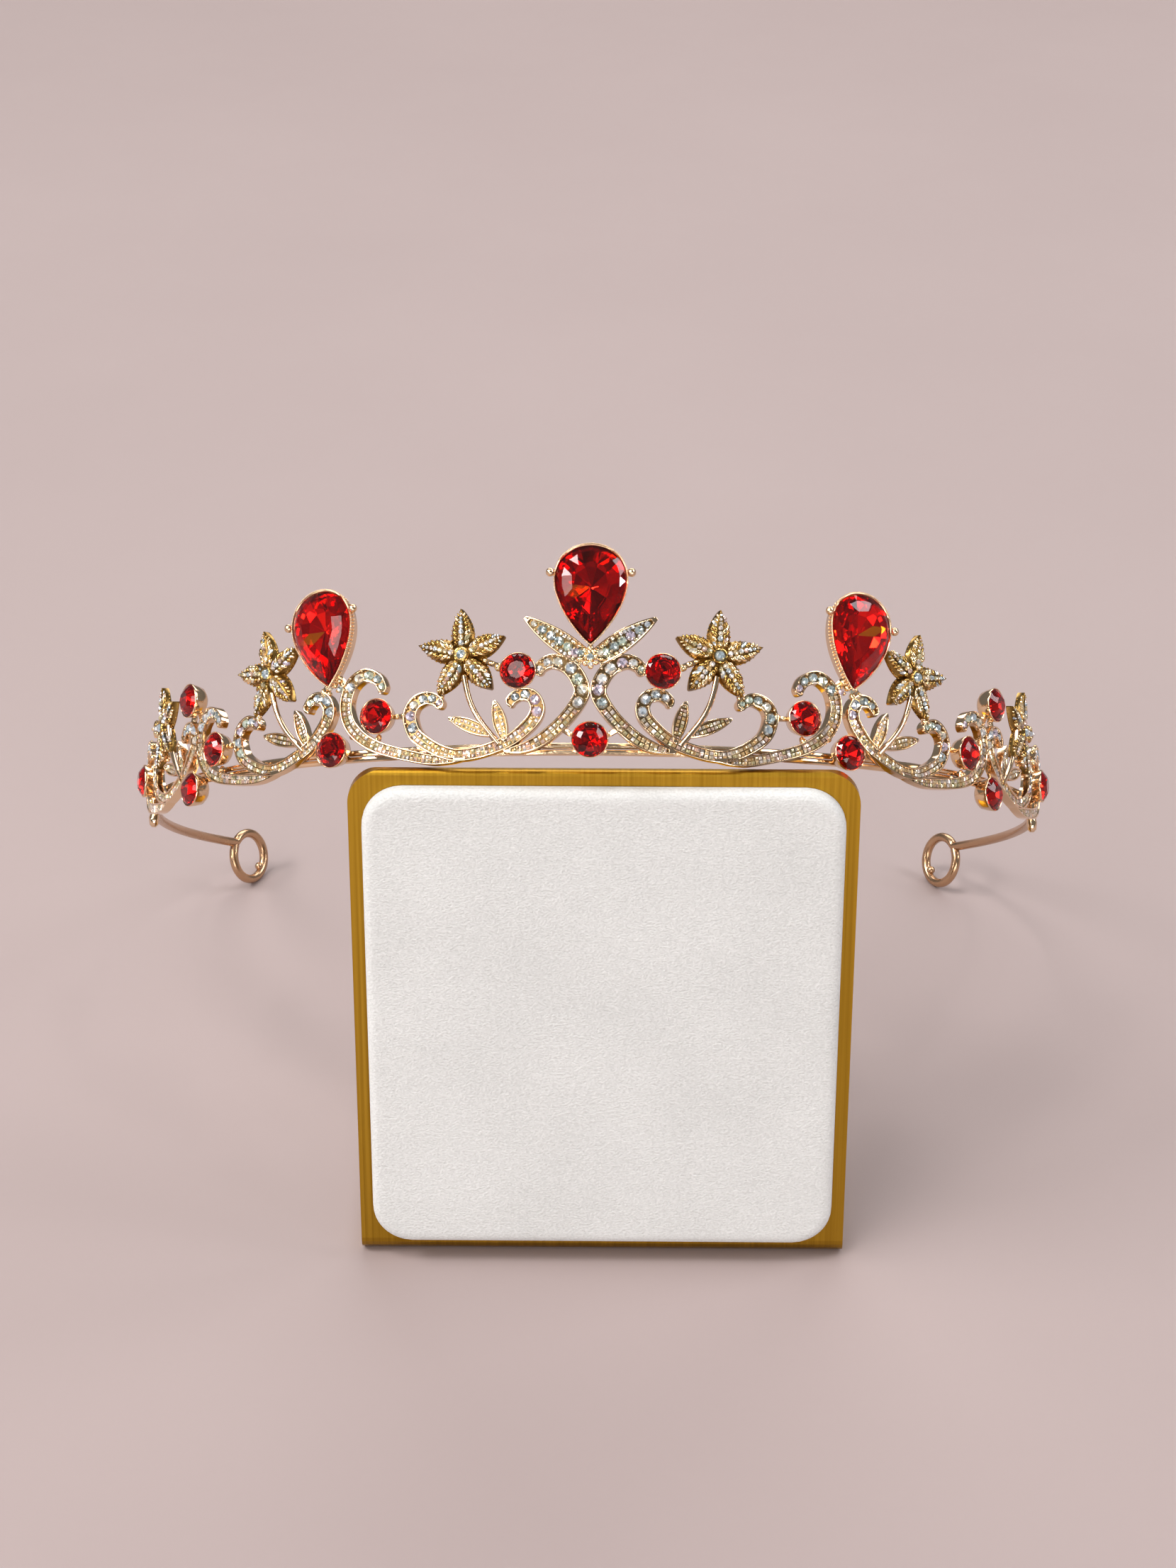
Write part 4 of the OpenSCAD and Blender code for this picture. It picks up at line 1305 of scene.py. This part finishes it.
# %% Suede
def suede_material():
    made, tone, shader = new_material("pad_suede")
    nap = tone.noise(1.0, 6.0, (2600.0, 3600.0, 3600.0))
    drift = tone.noise(60.0, 3.0)
    specks = tone.node("TexVoronoi", {"feature": "F1"}, {"Vector": tone.place(), "Scale": 620.0})
    speck = tone.node("ValToRGB", {"stops": [(0.0, (1, 1, 1, 1)), (0.085, (0, 0, 0, 1))]}, {"Fac": specks})
    shade = (nap * 1.8 + drift * 0.6 - 0.7).clamp()
    cloth = tone.blend(shade, (0.52, 0.518, 0.508, 1), (0.70, 0.697, 0.686, 1))
    tone.feed(shader, {
        "Base Color": tone.blend(speck * 0.35, cloth, (0.36, 0.33, 0.30, 1)),
        "Roughness": nap * 0.1 + 0.86,
        "Sheen Weight": 0.2,
        "Sheen Roughness": 0.5,
        "Normal": tone.bump(nap + drift * 0.4, 0.7, 0.0002),
    })
    return made


pad_suede = suede_material()
print("suede ready:", pad_suede.name)

# %% Pad
PLATE_LEAN = math.radians(10.0)
PAD_T, PAD_CORNER, PAD_ROLL = 2.4, 6.0, 1.3
PAD_CROWN, PAD_BELOW, PAD_BACK = 0.22, 0.25, 0.05


def pad_sheet(half_w, half_h):
    """The pad lying on its back, half_w by half_h mm from its middle."""
    bm = bmesh.new()
    bmesh.ops.create_grid(bm, x_segments=48, y_segments=48, size=1.0)
    for vert in bm.verts:
        s, t = math.sin(vert.co.x * math.pi / 2), math.sin(vert.co.y * math.pi / 2)
        x, y = s * half_w, t * half_h
        inside = min(half_w - abs(x), half_h - abs(y), PAD_ROLL)
        drop = PAD_ROLL - math.sqrt(max(PAD_ROLL ** 2 - (PAD_ROLL - inside) ** 2, 0))
        over_x, over_y = abs(x) - (half_w - PAD_CORNER), abs(y) - (half_h - PAD_CORNER)
        if over_x > 0 and over_y > 0:
            pull = max(over_x, over_y) / math.hypot(over_x, over_y)
            x = math.copysign(half_w - PAD_CORNER + over_x * pull, x)
            y = math.copysign(half_h - PAD_CORNER + over_y * pull, y)
        crown = PAD_CROWN * (1 - s ** 4) * (1 - t ** 4)
        vert.co = Vector((x, y, PAD_T - PAD_BELOW + crown - drop))
    for vert in verts_among(bmesh.ops.extrude_face_region(bm, geom=bm.faces[:])["geom"]):
        vert.co.z = PAD_BACK
    bmesh.ops.recalc_face_normals(bm, faces=bm.faces)
    return bm


low, high = (Vector(corner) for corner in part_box("stand_pad"))
size = high - low
pad_h = (size.z / MM - PAD_T * math.sin(PLATE_LEAN)) / math.cos(PLATE_LEAN)
lean = Matrix.Rotation(math.pi / 2 - PLATE_LEAN, 4, "X")
pad = pad_sheet(size.x / MM / 2, pad_h / 2)
bmesh.ops.translate(pad, vec=(0, 0, -PAD_T / 2), verts=pad.verts)
placed(pad, Matrix.Translation((high + low) / 2) @ lean @ Matrix.Scale(MM, 4))
pad_piece = finish(pad, "suede_pad", [pad_suede], ["stand_pad"], smooth=60)
print("pad, mm:", round(size.x / MM, 1), "by", round(pad_h, 1))

# %% [markdown]
# ## The stand's brushed gold
# The plate keeps its construction solid, because its shape is exact, and only gets its finish. Brushed
# metal is a noise drawn out into long streaks, used for roughness, tone and a faint bump.


# %% Brushed plate
def brushed_material():
    made, tone, shader = new_material("brushed_gold")
    streak = tone.noise(1.0, 5.0, (2400.0, 14.0, 14.0))
    broad = tone.noise(1.0, 2.0, (260.0, 9.0, 9.0))
    shade = (streak * 0.9 + broad * 0.35 - 0.15).clamp()
    tone.feed(shader, {
        "Base Color": tone.blend(shade, (0.22, 0.11, 0.006, 1), (0.50, 0.285, 0.03, 1)),
        "Metallic": 1.0,
        "Roughness": streak * 0.16 + 0.26,
        "Normal": tone.bump(streak, 0.3, 0.00002),
    })
    return made


plate = frame["nodes"]["stand_plate"]
plate.data.materials.clear()
plate.data.materials.append(brushed_material())
print("plate keeps its solid, with", len(plate.data.polygons), "faces")

# %% [markdown]
# ## Floor, light and camera
# A soft key light from the upper left, a cooler one as strong from the upper right, a long low one in
# front, one behind and a narrow bright window to the left give the metal something bright and
# something dark to reflect, and six small lamps make sparkles. The camera stands where the
# photographer did: 400 mm from the band's front, eight degrees below the line square to it.

# %% Floor
FLOOR_HALF = 3.0


def floor_material():
    made, tone, shader = new_material("pale_floor")
    tone.feed(shader, {
        "Base Color": tone.blend(tone.noise(6.0, 3.0), (0.305, 0.24, 0.232, 1), (0.345, 0.275, 0.266, 1)),
        "Roughness": tone.noise(40.0) * 0.1 + 0.6,
    })
    return made


sheet = bmesh.new()
bmesh.ops.create_grid(sheet, x_segments=8, y_segments=8, size=FLOOR_HALF)
floor_mesh = bpy.data.meshes.new("floor")
sheet.to_mesh(floor_mesh)
sheet.free()
floor_mesh.materials.append(floor_material())
floor = bpy.data.objects.new("floor", floor_mesh)
bpy.context.scene.collection.objects.link(floor)
print("floor is", 2 * FLOOR_HALF, "m wide")

# %% Lights
LIGHT_AIM = Vector((0, 0, 0.06))
LIGHTS = [
    ("key", (-0.70, -0.85, 1.0), (0.8, 0.6), 7.0, (1.0, 0.97, 0.93)),
    ("fill", (1.0, 0.18, 1.01), (0.7, 0.6), 8.0, (0.97, 0.97, 1.0)),
    ("low front", (0.12, -1.1, 0.16), (1.0, 0.2), 3.4, (1.0, 0.96, 0.94)),
    ("back", (0.1, 0.95, 0.75), (1.2, 0.5), 7.0, (1.0, 0.98, 0.96)),
    ("window", (-0.83, -0.10, 0.84), (0.62, 0.24), 9.0, (1.0, 0.99, 0.98)),
]
SPARKLE_PLACES = [(-0.95, -0.45, 0.30), (-0.32, -1.0, 0.36), (0.50, -0.95, 0.32), (0.95, -0.15, 0.42),
                  (-0.18, -0.28, 1.25), (0.36, -0.1, 1.2)]
for n, place in enumerate(SPARKLE_PLACES, 1):
    LIGHTS.append((f"sparkle_{n}", place, (0.08, 0.08), 0.9, (1.0, 0.99, 0.97)))
SUN_WAY, SUN_ANGLE, SUN_STRENGTH = Vector((0.30, 0.12, -0.95)), math.radians(14), 0.8
SKY, SKY_STRENGTH = (0.86, 0.88, 0.92, 1), 0.20


def light(name, kind, power, colour, way, place=(0, 0, 0)):
    """Hangs a light that shines along way."""
    data = bpy.data.lights.new(name, kind)
    data.energy, data.color = power, colour
    lamp = bpy.data.objects.new(name, data)
    lamp.location = place
    lamp.rotation_euler = way.to_track_quat("-Z", "Y").to_euler()
    bpy.context.scene.collection.objects.link(lamp)
    return data


for name, place, (width, height), power, colour in LIGHTS:
    panel = light(name, "AREA", power, colour, LIGHT_AIM - Vector(place), place)
    panel.shape, panel.size, panel.size_y = "RECTANGLE", width, height
light("daylight", "SUN", SUN_STRENGTH, (1.0, 0.98, 0.95), SUN_WAY).angle = SUN_ANGLE
world = bpy.data.worlds.new("studio")
bpy.context.scene.world = world
world.use_nodes = True
background = world.node_tree.nodes["Background"]
background.inputs["Color"].default_value = SKY
background.inputs["Strength"].default_value = SKY_STRENGTH
bpy.context.scene.view_settings.view_transform = "Standard"

# %% The camera at the photograph's angle
PHOTO_H = 2212
FOCAL_PX = 4000.0
SENSOR_MM = 36.0
CAMERA_MM = 400.0
CAMERA_RIGHT, CAMERA_UP = -0.25, -2.5
BELOW_SQUARE = math.radians(8.0)
CAMERA_YAW = math.radians(0.6)
pitch = band_lean - BELOW_SQUARE
look_right = Vector((math.cos(CAMERA_YAW), math.sin(CAMERA_YAW), 0))
look_flat = Vector((-math.sin(CAMERA_YAW), math.cos(CAMERA_YAW), 0))
look = look_flat * math.cos(pitch) - Vector((0, 0, math.sin(pitch)))
look_up = look_right.cross(look)
camera_data = bpy.data.cameras.new("camera")
camera_data.sensor_width = SENSOR_MM
camera_data.lens = FOCAL_PX / PHOTO_H * SENSOR_MM
camera_data.clip_start, camera_data.clip_end = 0.01, 20.0
camera = bpy.data.objects.new("camera", camera_data)
place = band_point(0, 0, 0) + (look_right * CAMERA_RIGHT + look_up * CAMERA_UP - look * CAMERA_MM) * MM
camera.matrix_world = Matrix.Translation(place) @ Matrix((look_right, look_up, -look)).transposed().to_4x4()
bpy.context.scene.collection.objects.link(camera)
bpy.context.scene.camera = camera
print("camera pitch", round(math.degrees(pitch), 1), "degrees, lens", round(camera_data.lens, 1), "mm")

# %% [markdown]
# ## Sizes
# The dressed model has to stay the size of the construction.
